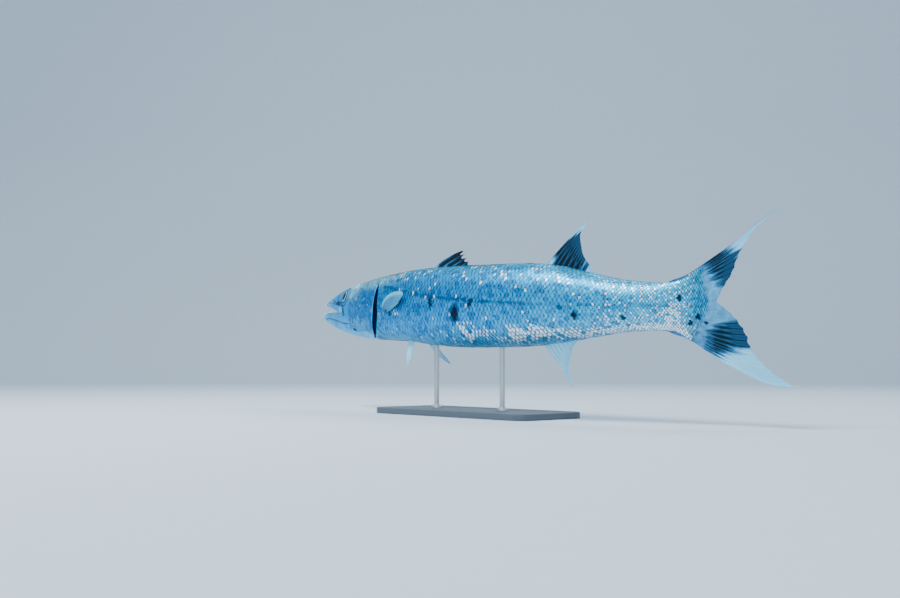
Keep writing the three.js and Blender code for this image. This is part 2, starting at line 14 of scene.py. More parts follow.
import bpy
import numpy as np
from bpy.types import Material, Node, NodeSocket, NodeTree, Object
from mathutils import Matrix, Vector


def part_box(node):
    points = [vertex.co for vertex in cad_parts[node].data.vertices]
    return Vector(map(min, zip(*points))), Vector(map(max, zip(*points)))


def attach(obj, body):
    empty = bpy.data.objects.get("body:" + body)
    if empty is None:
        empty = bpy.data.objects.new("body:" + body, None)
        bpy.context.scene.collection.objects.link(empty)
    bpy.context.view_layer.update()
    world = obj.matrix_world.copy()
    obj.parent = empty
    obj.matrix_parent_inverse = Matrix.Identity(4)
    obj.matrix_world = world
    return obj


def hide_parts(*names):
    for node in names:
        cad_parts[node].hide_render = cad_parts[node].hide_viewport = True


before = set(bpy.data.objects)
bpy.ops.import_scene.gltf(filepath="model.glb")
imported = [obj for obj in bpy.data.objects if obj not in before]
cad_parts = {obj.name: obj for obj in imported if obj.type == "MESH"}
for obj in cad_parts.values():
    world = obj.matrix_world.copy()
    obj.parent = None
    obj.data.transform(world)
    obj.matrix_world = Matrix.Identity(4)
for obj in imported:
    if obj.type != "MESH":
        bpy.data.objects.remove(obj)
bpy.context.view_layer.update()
log = logging.getLogger("barracuda")

Array = np.ndarray
Number = float | Array

DEGREE = math.pi / 180
MM = 0.001
UP = np.array([0, 0, 1])


class Side(Enum):
    """A side of the fish, by the sign of y."""

    LEFT = -1
    RIGHT = 1


class Pattern(Enum):
    """How a fin is marked."""

    DUSKY = "dusky with pale streaks"
    SAIL = "black with a white tip"
    TAIL = "a black band before a white tip"
    PECTORAL = "pale with a dark axil"
    PALE = "pale"


def smooth_step(value: Number, start: Number, end: Number) -> Array:
    """Ease from 0 at one value to 1 at another."""
    share = np.clip((np.asarray(value, float) - start) / (end - start), 0, 1)
    return share * share * (3 - 2 * share)


def fade(value: Number, start: Number, end: Number) -> Array:
    """Ease from 1 at one value to 0 at another."""
    return 1 - smooth_step(value, start, end)


def bell(value: Number, middle: Number, width: Number) -> Array:
    """A bump of height 1 that has sunk to about a third at its width from its middle."""
    return np.exp(-(((value - middle) / width) ** 2))


def mix(first: Number, second: Number, share: Number) -> Number:
    """Blend two values or arrays."""
    return first + (second - first) * share


def signed_power(value: Array, power: float) -> Array:
    """Raise numbers to a power and keep their signs."""
    return np.sign(value) * np.abs(value) ** power


def unit(direction: Array) -> Array:
    """A direction with length 1."""
    return direction / np.linalg.norm(direction)


def look_axes(looks: Array) -> Array:
    """Axes of the plane that faces a direction, and the direction itself, as columns."""
    up = unit(UP - looks[2] * looks)
    return np.stack([np.cross(up, looks), up, looks], axis=1)


def turned(profile: Array, turn: Array, length: float, tall: float) -> Array:
    """Points of a profile that is turned about an axis.

    Args:
        profile: Radii and heights, by row.
        turn: Angles to stop at.
        length: Scale of the radii along the first axis.
        tall: Scale of the radii along the second axis.

    Returns:
        Points by row of the profile and by angle.
    """
    radius, height = profile[:, :1], profile[:, 1:]
    heights = np.broadcast_to(height, (len(profile), len(turn)))
    return np.stack([length * radius * np.cos(turn), tall * radius * np.sin(turn), heights], axis=-1)


def hermite(b: Array, c: Array, lean_b: Array, lean_c: Array, t: Array) -> Array:
    """Points of a smooth curve from one point to the next, given how it leans at each."""
    bend = (2 * b - 2 * c + lean_b + lean_c) * t**3 + (3 * c - 3 * b - 2 * lean_b - lean_c) * t**2
    return bend + lean_b * t + b


class SmoothLine:
    """A line through a few heights that never overshoots between them."""

    def __init__(self, stations: tuple, heights: tuple) -> None:
        """Fit the line.

        Args:
            stations: Places along the line, rising.
            heights: The line's height at each of them.
        """
        self.stations = np.array(stations, float)
        self.heights = np.array(heights, float)
        secants = np.diff(self.heights) / np.diff(self.stations)
        before = np.concatenate([secants[:1], secants])
        after = np.concatenate([secants, secants[-1:]])
        rising = before * after > 0
        total = np.where(rising, before + after, 1)
        self.slopes = np.where(rising, 2 * before * after / total, 0)

    def __call__(self, place: Array) -> Array:
        """Height of the line at a place.

        Args:
            place: Stations to read, clamped to the line's ends.

        Returns:
            The heights.
        """
        inside = np.clip(place, self.stations[0], self.stations[-1])
        index = np.clip(np.searchsorted(self.stations, inside) - 1, 0, len(self.stations) - 2)
        span = self.stations[index + 1] - self.stations[index]
        share = (inside - self.stations[index]) / span
        rise = share * share * (3 - 2 * share)
        lean = (1 - share) * self.slopes[index] - share * self.slopes[index + 1]
        return mix(self.heights[index], self.heights[index + 1], rise) + span * share * (1 - share) * lean


@dataclass
class BodyShape:
    """Outline of the body, and the curve and height at which the fish is held."""

    standard_length: float = 1060
    bend: float = 18.4 * DEGREE
    nose_up: float = 0.034
    centre_height: float = 215
    stand_station: float = 560
    sideways: float = -14
    squareness: float = 0.87
    stations: tuple = (
        -12, 2, 25, 53, 106, 170, 233, 318, 392, 466, 551, 636, 721, 795, 869, 954, 1007, 1045, 1068,
    )
    tops: tuple = (
        5, 9.5, 15, 21.5, 34.9, 48.9, 57.9, 68.3, 75, 79.3, 80.8, 80.2, 80, 74.4, 59.2, 43.6, 40, 42, 45,
    )
    bottoms: tuple = (
        25, 28.5, 35, 42.4, 54, 64.4, 69.3, 71.6, 73.2, 78.2, 81.2, 79, 75.5, 68, 56.3, 44.1, 42, 44, 47,
    )
    widths: tuple = (3, 4.5, 8.5, 15, 27, 38, 46, 56, 61.5, 63.8, 64.8, 63.6, 59.5, 53, 43, 30, 18.5, 8, 3)
    lows: tuple = (9, 8, 8, 8, 9, 9, 8, 7, 5, 4, 3, 2, 1, 0, 0, 0, 0, 0, 0)

    def __post_init__(self) -> None:
        """Fit the outline's lines."""
        outlines = (self.tops, self.bottoms, self.widths, self.lows)
        lines = (SmoothLine(self.stations, heights) for heights in outlines)
        self.top, self.bottom, self.width, self.low = lines

    def skin(self, x: Array, angle: Array, grow: Number = 0) -> Array:
        """Points of the skin.

        Args:
            x: Stations along the body.
            angle: Angles round it: 0 faces the fish's right, 90 degrees faces up.
            grow: Distance of the points over the skin.

        Returns:
            Points of the straight body, in a last axis of three.
        """
        x, angle = np.broadcast_arrays(np.asarray(x, float), np.asarray(angle, float))
        across = signed_power(np.cos(angle), self.squareness)
        up = signed_power(np.sin(angle), self.squareness)
        low = self.low(x)
        half = np.where(up > 0, self.top(x) + low, self.bottom(x) - low)
        return np.stack([x, (self.width(x) + grow) * across, (half + grow) * up - low], axis=-1)

    def angle_at(self, x: Array, z: Array) -> Array:
        """Angle at which the right side of the skin reaches a height.

        Args:
            x: Stations along the body.
            z: Heights from the centre line.

        Returns:
            Angles between -90 and 90 degrees.
        """
        low = self.low(x)
        half = np.where(z + low > 0, self.top(x) + low, self.bottom(x) - low)
        up = np.clip((z + low) / half, -1, 1)
        return np.arcsin(signed_power(up, 1 / self.squareness))

    def side_point(self, x: float, z: float, side: Side) -> Array:
        """One point of the skin on one side, from its station and its height."""
        point = self.skin(x, self.angle_at(np.float64(x), np.float64(z)))
        return point * (1, side.value, 1)

    def outward(self, x: float, z: float, side: Side) -> Array:
        """Outward direction of the skin at one point.

        Args:
            x: Station along the body.
            z: Height from the centre line.
            side: Side of the fish.

        Returns:
            A direction of length 1.
        """
        step = 4
        along = self.side_point(x + step, z, side) - self.side_point(x - step, z, side)
        around = self.side_point(x, z + step, side) - self.side_point(x, z - step, side)
        normal = np.cross(around, along) * side.value
        return unit(normal)

    def pose(self, points: Array) -> Array:
        """Carry points of the straight body to where the model holds them.

        Args:
            points: Points in millimetres, in a last axis of three.

        Returns:
            Points in metres, in the model's frame.
        """
        x, y, z = np.moveaxis(np.asarray(points, float), -1, 0)
        radius = self.standard_length / self.bend
        heading = (x - self.standard_length / 2) / radius
        stand_heading = (self.stand_station - self.standard_length / 2) / radius
        posed = np.stack(
            [
                radius * (np.sin(heading) - math.sin(stand_heading)) - y * np.sin(heading),
                radius * (1 - np.cos(heading)) + y * np.cos(heading) + self.sideways,
                self.centre_height + z + self.nose_up * (self.standard_length / 2 - x),
            ],
            axis=-1,
        )
        return posed * MM


@dataclass
class GillOpening:
    """The cover over each gill, the hollow under it and the shoulder behind it."""

    top: float = 47 * DEGREE
    bottom: float = -84 * DEGREE
    lift: float = 0.8
    flare: float = 7
    front: tuple = (226, 216, 216)
    rear: tuple = (318, 322, 250)
    depth: float = 9.5
    narrowest: float = 1
    foot: float = 1.6
    widest: float = 7
    widest_at: float = 0.55
    widest_spread: float = 0.17
    lead_in: float = 34
    pocket: float = 22
    shoulder: float = 6

    def edge(self, corners: tuple, share: Array) -> Array:
        """Stations of a curved edge of the cover, from those of its top, middle and bottom."""
        top, middle, bottom = corners
        return (1 - share) ** 2 * bottom + share * (1 - share) * (4 * middle - top - bottom) + share**2 * top

    def share(self, raised: Array) -> Array:
        """Share of the way up the opening of an angle above the fish's side."""
        return np.clip((raised - self.bottom) / (self.top - self.bottom), 0, 1)

    def hollow(self, x: Array, raised: Array) -> tuple[Array, Array]:
        """Shape of the hollow that shows behind the cover's rear edge.

        Args:
            x: Stations along the body.
            raised: Angles above the fish's side.

        Returns:
            Depths under the plain skin, and the painted shade of each place, without the window of its ends.
        """
        share = self.share(raised)
        rim = self.edge(self.rear, share)
        width = self.width(share)
        depth = self.depth * mix(0.3, 1, width / self.widest)
        wall = fade(x, rim + 0.2 * width - 1, rim + width + 2.5)
        return depth * wall, fade(x, rim + width - 2.5, rim + width + 2)

    def width(self, share: Array) -> Array:
        """Width of the hollow behind the cover at a share of the way up."""
        middle = (self.widest - self.narrowest) * bell(share, self.widest_at, self.widest_spread)
        return self.narrowest + self.foot * fade(share, 0.3, 0.5) + middle

    def end(self, share: Array) -> Array:
        """Station where the plain skin starts again behind the hollow."""
        return self.edge(self.rear, share) + self.width(share) + self.shoulder

    def window(self, raised: Array) -> Array:
        """How much of the free flap there is at an angle, from 0 past its ends to 1."""
        upper = fade(raised, self.top - 9 * DEGREE, self.top + 1 * DEGREE)
        return upper * smooth_step(raised, self.bottom - 3 * DEGREE, self.bottom + 8 * DEGREE)

    def stand_off(self, x: Array, raised: Array) -> Array:
        """Height of the cover over the plain skin.

        Args:
            x: Stations along the body.
            raised: Angles above the fish's side.

        Returns:
            Heights in millimetres, without the window of its ends.
        """
        share = self.share(raised)
        front = self.edge(self.front, share)
        along = (x - front) / (self.edge(self.rear, share) - front)
        # the rear edge stands out most at mid height, and lies closer below it and at its top
        out = mix(0.25, 1, np.maximum(np.sin(math.pi * mix(0.12, 1, share)), 0) ** 0.6)
        out = out * mix(0.5, 1, smooth_step(share, 0.22, 0.5)) * mix(1, 0.6, smooth_step(share, 0.66, 0.95))
        step = smooth_step(x, front - 3, front + 3)
        return self.lift * step + self.flare * out * smooth_step(along, 0.2, 1)


@dataclass
class Markings:
    """Where the fish is dark, pale or painted with highlights and glints, in the straight body's side view.
    """

    # each spot: station, height, half length, half height and strength
    left_spots: tuple = (
        (519, 3, 7.5, 13, 1),
        (588, -14, 13, 20, 1),
        (630, 3, 5.5, 11, 1),
        (830, -1, 4, 4.5, 0.85),
        (846, -23, 5, 6, 0.6),
        (860, -18, 6, 9, 1),
        (950, -21, 6, 5, 0.95),
        (1046, 14, 5, 8, 0.95),
        (1064, -27, 5, 5, 0.95),
        (1077, -18, 5, 6, 1),
        (1092, -28, 5, 3, 0.9),
        (211, -50, 11, 3.4, 1),
        (383, -12, 5.5, 8.5, 1),
        (131, 9, 17, 5, 1),
        (252, -66, 7, 2.5, 0.6),
    )
    right_spots: tuple = (
        (548, -2, 5, 8, 0.8),
        (612, -20, 9, 16, 0.95),
        (668, -6, 5, 9, 0.8),
        (790, -18, 6, 8, 0.85),
        (842, -6, 4, 5, 0.7),
        (884, -24, 6, 6, 0.85),
        (948, -17, 6, 6, 0.85),
        (1048, 11, 5, 4, 0.7),
        (1058, -24, 6, 5, 0.85),
        (383, -12, 4.5, 6, 0.75),
        (131, 9, 15, 4.5, 0.9),
    )
    line_stations: tuple = (330, 405, 448, 483, 541, 601, 669, 781, 923, 1060)
    line_heights: tuple = (45, 33, 26, 20.5, 15.5, 11, 7, 2, 0, 0)

    def __post_init__(self) -> None:
        """Fit the lateral line."""
        self.line = SmoothLine(self.line_stations, self.line_heights)

    def dark(self, x: Array, y: Array, z: Array) -> Array:
        """Strength of the ink-dark blotches at points of the straight body.

        Args:
            x: Stations along the body.
            y: Offsets to the fish's right.
            z: Heights from the centre line.

        Returns:
            Strengths from 0 to 1.
        """
        strength = np.zeros(np.shape(x))
        ragged = 0.13 * np.sin(0.9 * x + 1.3 * z) + 0.1 * np.sin(1.7 * z - 0.6 * x)
        for side, spots in ((Side.LEFT, self.left_spots), (Side.RIGHT, self.right_spots)):
            for spot_x, spot_z, half_length, half_height, most in spots:
                along = np.abs(x - spot_x) / half_length
                up = (z - spot_z) / half_height
                waist = along / np.maximum(1 - 0.6 * np.maximum(up, 0), 0.3)
                distance = np.hypot(waist, up) ** 1.6 + ragged
                strength = np.maximum(strength, most * fade(distance, 0.78, 1.14) * (y * side.value > 0))
        return strength

    def bright(self, x: Array, raised: Array) -> Array:
        """Share of scales with a painted glint, low on the flank, on the shoulder and on the tail's root.

        Args:
            x: Stations along the body.
            raised: Angles above the fish's side.

        Returns:
            Shares from 0 to 1.
        """
        # the low band of painted glints, which sinks towards the belly as it runs back, with its clusters
        centre = mix(mix(-37, -44, smooth_step(x, 640, 700)), -63, smooth_step(x, 790, 880)) * DEGREE
        cluster = np.maximum(bell(x, 608, 16), smooth_step(x, 690, 715))
        cluster = cluster * (0.68 + 0.32 * np.sin(x / 9 + 5 * raised))
        low = 1.25 * bell(raised, centre, 17 * DEGREE) * (0.4 + 0.6 * cluster)
        low = low * smooth_step(x, 520, 600)
        # the shoulder's band of painted glints
        high = 0.5 * bell(raised, 58 * DEGREE, 15 * DEGREE) * smooth_step(x, 330, 380)
        high = high * (1 - 0.75 * smooth_step(x, 470, 560))
        # the patch of painted glints on the root of the tail
        root = 0.75 * bell(x, 1032, 34) * bell(raised, -16 * DEGREE, 34 * DEGREE)
        root = np.maximum(root, 0.3 * smooth_step(x, 860, 960))
        return np.clip(0.035 + low + high + root, 0, 1) * (1 - 0.85 * smooth_step(x, 1056, 1072))

    def line_strength(self, x: Array) -> Array:
        """How plain the lateral line is at a station: it fades towards the tail."""
        return smooth_step(x, 330, 360) * mix(1, 0.3, smooth_step(x, 640, 820))

    def pale(self, x: Array, z: Array, raised: Array) -> Array:
        """Strength of the pale patches of the head's skin, most of them painted highlights.

        Args:
            x: Stations along the body.
            z: Heights from the centre line.
            raised: Angles above the fish's side.

        Returns:
            Strengths from 0 to 1.
        """
        # crown, temple, cover and streak are painted highlights; snout, lip and under are paler skin
        crown = smooth_step(x, 165, 190) * fade(x, 300, 420) * smooth_step(raised, 25 * DEGREE, 48 * DEGREE)
        temple = bell(x, 208, 30) * bell(z, 30, 17)
        snout = 0.7 * fade(x, 30, 110) * smooth_step(z, 0, 9)
        lip = 0.8 * bell(z, -24, 4.5) * fade(x, 20, 60)
        cover = 0.6 * bell(x, 262, 34) * bell(z, -44, 15)
        streak = 0.9 * bell(x, 146 + 0.3 * (4 - z), 6) * bell(z, -5, 8)
        under = 0.8 * smooth_step(x, 262, 280) * fade(x, 410, 440) * fade(z, -70, -64)
        return np.clip(np.maximum.reduce([crown, temple, snout, lip, cover, streak, under]), 0, 1)


@dataclass
class MeshData:
    """Points, faces and point values of a mesh that is being put together."""

    points: list = field(default_factory=list)
    faces: list = field(default_factory=list)
    values: dict = field(default_factory=dict)
    count: int = 0

    def add(self, points: Array, faces: list[Array], **values: Array) -> int:
        """Add a patch.

        Args:
            points: Points in millimetres, in a last axis of three.
            faces: Arrays of corner indices within the patch.
            **values: A number for each point, by name.

        Returns:
            The index of the patch's first point.
        """
        flat = np.reshape(points, (-1, 3))
        start = self.count
        self.points.append(flat)
        self.faces.extend(np.asarray(part) + start for part in faces)
        for name, value in values.items():
            self.values.setdefault(name, []).append(np.broadcast_to(value, np.shape(points)[:-1]).ravel())
        self.count += len(flat)
        return start

    def add_grid(self, points: Array, flip: bool = False, **values: Array) -> int:
        """Add a sheet whose points lie in rows and columns.

        Args:
            points: Points by row and column.
            flip: Turns the sheet's faces round.
            **values: A number for each point, by name.

        Returns:
            The index of the sheet's first point.
        """
        rows, columns = points.shape[:2]
        index = np.arange(rows * columns).reshape(rows, columns)
        corners = [index[:-1, :-1], index[:-1, 1:], index[1:, 1:], index[1:, :-1]]
        if flip:
            corners.reverse()
        quads = np.stack([corner.ravel() for corner in corners], axis=1)
        return self.add(points, [quads], **values)

    def build(self, name: str, shape: BodyShape, merge: float = 0.0) -> Object:
        """Make the mesh and its object.

        Args:
            name: Name of the piece.
            shape: Body whose curve the points are carried onto.
            merge: Distance in millimetres within which points become one.

        Returns:
            The object, at the origin.
        """
        mesh = bpy.data.meshes.new(name)
        points = shape.pose(np.concatenate(self.points))
        faces = [tuple(face) for part in self.faces for face in part.tolist()]
        mesh.from_pydata(points.tolist(), [], faces)
        for key, parts in self.values.items():
            attribute = mesh.attributes.new(key, "FLOAT", "POINT")
            attribute.data.foreach_set("value", np.concatenate(parts).astype(np.float32))
        mesh.update()
        piece = bpy.data.objects.new(name, mesh)
        bpy.context.scene.collection.objects.link(piece)
        if merge:
            edit(piece)
            bpy.ops.mesh.select_all(action="SELECT")
            bpy.ops.mesh.remove_doubles(threshold=merge * MM)
            bpy.ops.mesh.normals_make_consistent(inside=False)
            bpy.ops.object.mode_set(mode="OBJECT")
        return piece


def only_nothing() -> None:
    """Leave nothing selected."""
    bpy.ops.object.select_all(action="DESELECT")


def only(piece: Object) -> None:
    """Make one object the selected and active one.

    Args:
        piece: The object.
    """
    only_nothing()
    piece.select_set(True)
    bpy.context.view_layer.objects.active = piece


def edit(piece: Object) -> None:
    """Open one object in edit mode."""
    only(piece)
    bpy.ops.object.mode_set(mode="EDIT")


def smooth_shaded(piece: Object, angle: float = 40) -> Object:
    """Shade a piece smooth, with edges sharper than an angle in degrees kept crisp.

    Args:
        piece: The piece.
        angle: The angle.

    Returns:
        The same piece.
    """
    only(piece)
    bpy.ops.object.shade_smooth_by_angle(angle=angle * DEGREE)
    return piece


@dataclass
class Skin:
    """One closed skin from the snout to the tail, with the mouth and the gill openings in it."""

    shape: BodyShape
    gill: GillOpening
    markings: Markings
    coat: float = 0.6
    corner: float = 160
    snout: tuple = (13, 8, 14)
    chin: tuple = (-7, -24, 11)
    lip_stations: tuple = (-12, 2, 25, 62, 110, 160)
    upper_lip: tuple = (5, 5, 4, 1.5, -7, -16.5)
    lower_lip: tuple = (-23, -20.5, -15.5, -12.5, -13, -16.5)
    lip_radius: float = 1.5
    gap: float = 0.018
    eye_x: float = 165
    eye_z: float = 23
    eye_radius: float = 12.5
    mouth_rows: int = 84
    upper_columns: int = 116
    lower_columns: int = 96
    sheet_columns: int = 22
    head_rows: int = 51
    cover_rows: int = 15
    under_rows: int = 8
    floor_rows: int = 16
    body_rows: int = 117
    body_end: float = 1068
    closing: tuple = (1069.5, 1070.5, 1071)
    closing_widths: tuple = (0.8, 0.45, 0)
    throat_depth: float = 34
    throat_rows: int = 9
    lip_turns: tuple = (30, 60, 90)
    lining_turns: tuple = (120, 150, 180)
    palate: float = 7
    relief_end: tuple = (255, 290)

    def __post_init__(self) -> None:
        """Fit the lips' lines."""
        self.upper = SmoothLine(self.lip_stations, self.upper_lip)
        self.lower = SmoothLine(self.lip_stations, self.lower_lip)

    @staticmethod
    def raised(angle: Array) -> Array:
        """Angle above the nearer side of the fish for an angle round the body."""
        return np.arctan2(np.sin(angle), np.abs(np.cos(angle)))

    def near_eye(self, points: Array) -> tuple[Array, Array]:
        """Distance of points from the eye's axis, and from the eye's plane along it.

        Args:
            points: Points of the straight body.

        Returns:
            The distances across and along.
        """
        centre = self.shape.side_point(self.eye_x, self.eye_z, Side.RIGHT)
        looks = self.shape.outward(self.eye_x, self.eye_z, Side.RIGHT)
        offset = points - centre
        offset[..., 1] = np.abs(points[..., 1]) - centre[1]
        along = offset @ looks
        across = np.linalg.norm(offset - along[..., None] * looks, axis=-1)
        return across, along

    def relief(self, x: Array, angle: Array) -> tuple[Array, Array]:
        """Folds and bones that show through the skin of the head.

        Args:
            x: Stations along the body.
            angle: Angles round the body.

        Returns:
            Heights over the plain skin, and how much painted shade each place gets as a groove.
        """
        plain = self.shape.skin(x, angle)
        z = plain[..., 2]
        raised = self.raised(angle)
        height = np.zeros(x.shape)
        groove = np.zeros(x.shape)

        def furrow(distance: Array, width: float, depth: float, where: Array) -> None:
            """Sink a groove and paint shade into it.

            Args:
                distance: Distances from its middle line.
                width: Its width.
                depth: Its depth.
                where: Strengths from 0 to 1.
            """
            nonlocal height, groove
            shape = bell(distance, 0, width) * where
            height = height - depth * shape
            groove = np.maximum(groove, shape)

        # the maxilla, a spoon-shaped bone over the upper lip, with a fold round its rear end
        over_lip = z - self.upper(x)
        plate = mix(6, 17, np.clip((x - 36) / 121, 0, 1))
        inside = smooth_step(x, 30, 44) * fade(x, 151, 158)
        height = height + 1.5 * inside * smooth_step(over_lip, 0.2, 3) * fade(over_lip, plate - 3, plate)
        furrow(over_lip - plate - 0.6, 1.5, 0.9, inside * 0.8)
        behind = 1.0 * (over_lip > -4) * (over_lip < plate + 3) * (z < 10)
        furrow(x - 159.5, 3, 1.2, behind)
        groove = np.maximum(groove, bell(x, 160 + 0.3 * (4 - z), 5) * behind)
        # the lachrymal fold from the nostrils down to the lip, and the furrow under the eye
        furrow(z - mix(17, 3, smooth_step(x, 70, 150)), 1.8, 0.7, smooth_step(x, 60, 90) * fade(x, 150, 166))
        # bones of the cheek in front of the gill cover
        cheek = smooth_step(raised, -60 * DEGREE, -40 * DEGREE) * fade(raised, 20 * DEGREE, 40 * DEGREE)
        furrow(x - self.gill.edge(self.gill.front, self.gill.share(raised)) + 1.5, 2.2, 0.9, cheek)
        furrow(x - 192 - 10 * np.cos(2.2 * raised), 3, 0.6, cheek * (z < 8))
        # the jaw's own edge and the throat's long rays
        jaw_edge = self.lower(x) - 11 - 10 * smooth_step(x, 0, 190)
        furrow(z - jaw_edge, 1.7, 0.8, smooth_step(x, 6, 40) * fade(x, 190, 215))
        throat = smooth_step(x, 60, 120) * fade(x, 225, 262) * fade(raised, -58 * DEGREE, -48 * DEGREE)
        rays = np.cos((raised + 90 * DEGREE) * 42)
        height = height + 0.45 * throat * rays
        groove = np.maximum(groove, 0.5 * throat * smooth_step(-rays, 0.2, 1))
        # two low ridges on the skull and the hollow between them
        skull = smooth_step(x, 50, 90) * fade(x, 215, 250)
        height = height + 0.9 * skull * bell(raised, 62 * DEGREE, 7 * DEGREE)
        height = height - 0.8 * skull * bell(raised, 90 * DEGREE, 11 * DEGREE)
        # the socket of the eye, 7 mm deep
        across, along = self.near_eye(plain)
        close = 1.0 * (along > -14) * (along < 14)
        socket = fade(across, self.eye_radius - 2.5, self.eye_radius + 0.5) * close
        swell = bell(across, self.eye_radius + 3, 3.2) * close
        height = height * (1 - socket) - 7 * socket + 0.9 * swell
        furrow(across - self.eye_radius - 8, 1.8, 0.6, close)
        return height, np.clip(groove, 0, 1)

    def fold(self, angle: Array) -> tuple[Array, Array, Array]:
        """Stations and heights of the rows that run over the gill cover, under it and out again.

        Args:
            angle: Angles round the body, one for each column.

        Returns:
            Stations, heights over the plain skin and shares of the hollow's painted shade, by row and column.
        """
        gill = self.gill
        raised = self.raised(angle)
        share = gill.share(raised)
        rim = gill.edge(gill.rear, share)
        window = gill.window(raised)
        first, inner, last = rim - gill.lead_in, rim - gill.pocket, gill.end(share)
        over_x = mix(first, rim, np.linspace(0, 1, self.cover_rows)[:, None] ** 0.8)
        over = gill.stand_off(over_x, raised)
        rim_height = gill.stand_off(rim, raised)
        turn_x = np.stack([rim + 0.5, rim + 0.5])
        turn = np.stack([rim_height - 0.3, rim_height - 0.9])
        back = np.linspace(0, 1, self.under_rows)[:, None]
        under_x = mix(rim, inner, back)
        under = gill.stand_off(under_x, raised) - mix(1.2, 2.4, back)
        floor_x = mix(inner, last, np.linspace(0, 1, self.floor_rows)[:, None])
        depth, dark = gill.hollow(floor_x, raised)
        floor = -depth * mix(0.45, 1, smooth_step(floor_x, inner, rim + 2))
        folded_x = np.concatenate([over_x, turn_x, under_x, floor_x])
        folded = np.concatenate([over, turn, under, floor])
        plain_x = mix(first, last, np.linspace(0, 1, len(folded_x))[:, None])
        # painted shade: none on the cover, a little where it turns under, full under it, and on the floor as
        # it darkens
        inside = np.concatenate([0 * over_x, 0 * turn_x + 0.3, 0 * under_x + 1, 0 * floor_x + dark])
        return mix(plain_x, folded_x, window), folded * window, inside * window

    def rear_grid(self, angle_at_seam: Array, columns: int, upper: bool) -> dict[str, Array]:
        """Rows of one half of the skin behind the mouth's corner.

        Args:
            angle_at_seam: Angle of the seam between the halves at each row.
            columns: Spaces between the columns.
            upper: Takes the upper half of the body, and otherwise the lower.

        Returns:
            Stations, angles, heights and the gill hollow's painted shade by row and column.
        """
        seam = angle_at_seam[:, None]
        across = np.linspace(0, 1, columns + 1)
        if upper:
            angle = mix(seam + self.gap, math.pi - seam - self.gap, across)
        else:
            angle = mix(math.pi - seam + self.gap, 2 * math.pi + seam - self.gap, across)
        middle = angle[len(angle) // 3]
        fold_x, fold_height, fold_shade = self.fold(middle)
        head_x = mix(self.corner, fold_x[0], np.linspace(0, 1, self.head_rows + 1)[:-1, None])
        body_x = mix(fold_x[-1], self.body_end, np.linspace(0, 1, self.body_rows + 1)[1:, None])
        close_x = np.array(self.closing)[:, None] + 0 * fold_x[-1]
        raised = self.raised(middle)
        cover = self.gill.stand_off(head_x, raised) * self.gill.window(raised)
        return {
            "x": np.concatenate([head_x, fold_x, body_x, close_x]),
            "angle": angle,
            "height": np.concatenate([cover, fold_height, 0 * body_x, 0 * close_x]),
            "inside": np.concatenate([0 * head_x, fold_shade, 0 * body_x, 0 * close_x]),
        }

    def seam_angles(self) -> Array:
        """Angles of the seam between the skin's halves behind the mouth's corner, by row.

        Returns:
            The angles, which ease to 0 behind the head.
        """
        at_corner = self.shape.angle_at(np.float64(self.corner), np.float64(self.upper_lip[-1]))
        turn_rows = 2
        fold_rows = self.cover_rows + turn_rows + self.under_rows + self.floor_rows
        rows = self.head_rows + fold_rows + self.body_rows + len(self.closing)
        return float(at_corner) * fade(np.arange(rows) / rows, 0.02, 0.22)

    def jaw_front(self, upper: bool) -> dict[str, Array]:
        """Rows of one jaw ahead of the mouth's corner, with its lips and the lining behind them.

        Args:
            upper: Takes the upper jaw, and otherwise the lower.

        Returns:
            Points of the outside and of the lining by row and column, and the painted shade of the outside's
            grooves.
        """
        tip_x, tip_z, rounding = self.snout if upper else self.chin
        line = self.upper if upper else self.lower
        columns = self.upper_columns if upper else self.lower_columns
        sign = 1 if upper else -1
        # the rows lie closer together at the tip
        x = mix(tip_x, self.corner, (np.arange(self.mouth_rows + 1) / self.mouth_rows) ** 1.2)
        lip = line(x)
        share = np.clip((x - tip_x) / rounding, 0, 1)
        size = np.sqrt(1 - (1 - share) ** 2)

        def end_angle(height: Array) -> Array:
            """Angle at which the skin reaches a height, where the tip is rounded off."""
            return self.shape.angle_at(x, tip_z + (height - tip_z) / np.maximum(size, 1e-3))

        def placed(station: Array, angle: Array, grow: Number) -> Array:
            """Points of the skin, drawn in where the tip is rounded off.

            Args:
                station: Stations along the fish.
                angle: Angles round its section.
                grow: Distances out from it.

            Returns:
                The points.
            """
            points = self.shape.skin(station, angle, grow)
            points[..., 1] *= size[:, None]
            points[..., 2] = mix(tip_z, points[..., 2], size[:, None])
            return points

        bare = placed(x[:, None], end_angle(lip)[:, None], 0.0)[:, 0, 1]
        radius = np.minimum(self.lip_radius, 0.3 * np.abs(bare))
        end = end_angle(lip + sign * radius)[:, None]
        across = np.linspace(0, 1, columns + 1)
        if upper:
            angle = mix(end, math.pi - end, across)
        else:
            angle = mix(math.pi - end, 2 * math.pi + end, across)
        station = np.broadcast_to(x[:, None], angle.shape)
        relief, groove = self.relief(station, angle)
        eased = smooth_step(share, 0, 1)[:, None]
        outside = placed(station, angle, relief * eased - 0.4)

        def rolled(edge: Array, degrees: tuple) -> Array:
            """Columns of the lip's round edge.

            Args:
                edge: Points of the skin's edge.
                degrees: Angles round the lip from there.

            Returns:
                The points.
            """
            turn = np.array(degrees) * DEGREE
            inward = np.sign(edge[:, 1])[:, None] * radius[:, None] * (1 - np.cos(turn))
            down = sign * radius[:, None] * np.sin(turn)
            xs = np.broadcast_to(edge[:, :1], inward.shape)
            return np.stack([xs, edge[:, 1:2] - inward, edge[:, 2:3] - down], axis=-1)

        first, last = outside[:, 0], outside[:, -1]
        before = rolled(first, self.lip_turns)[:, ::-1]
        after = rolled(last, self.lip_turns)
        lining_a = rolled(first, self.lining_turns)
        lining_b = rolled(last, self.lining_turns)[:, ::-1]
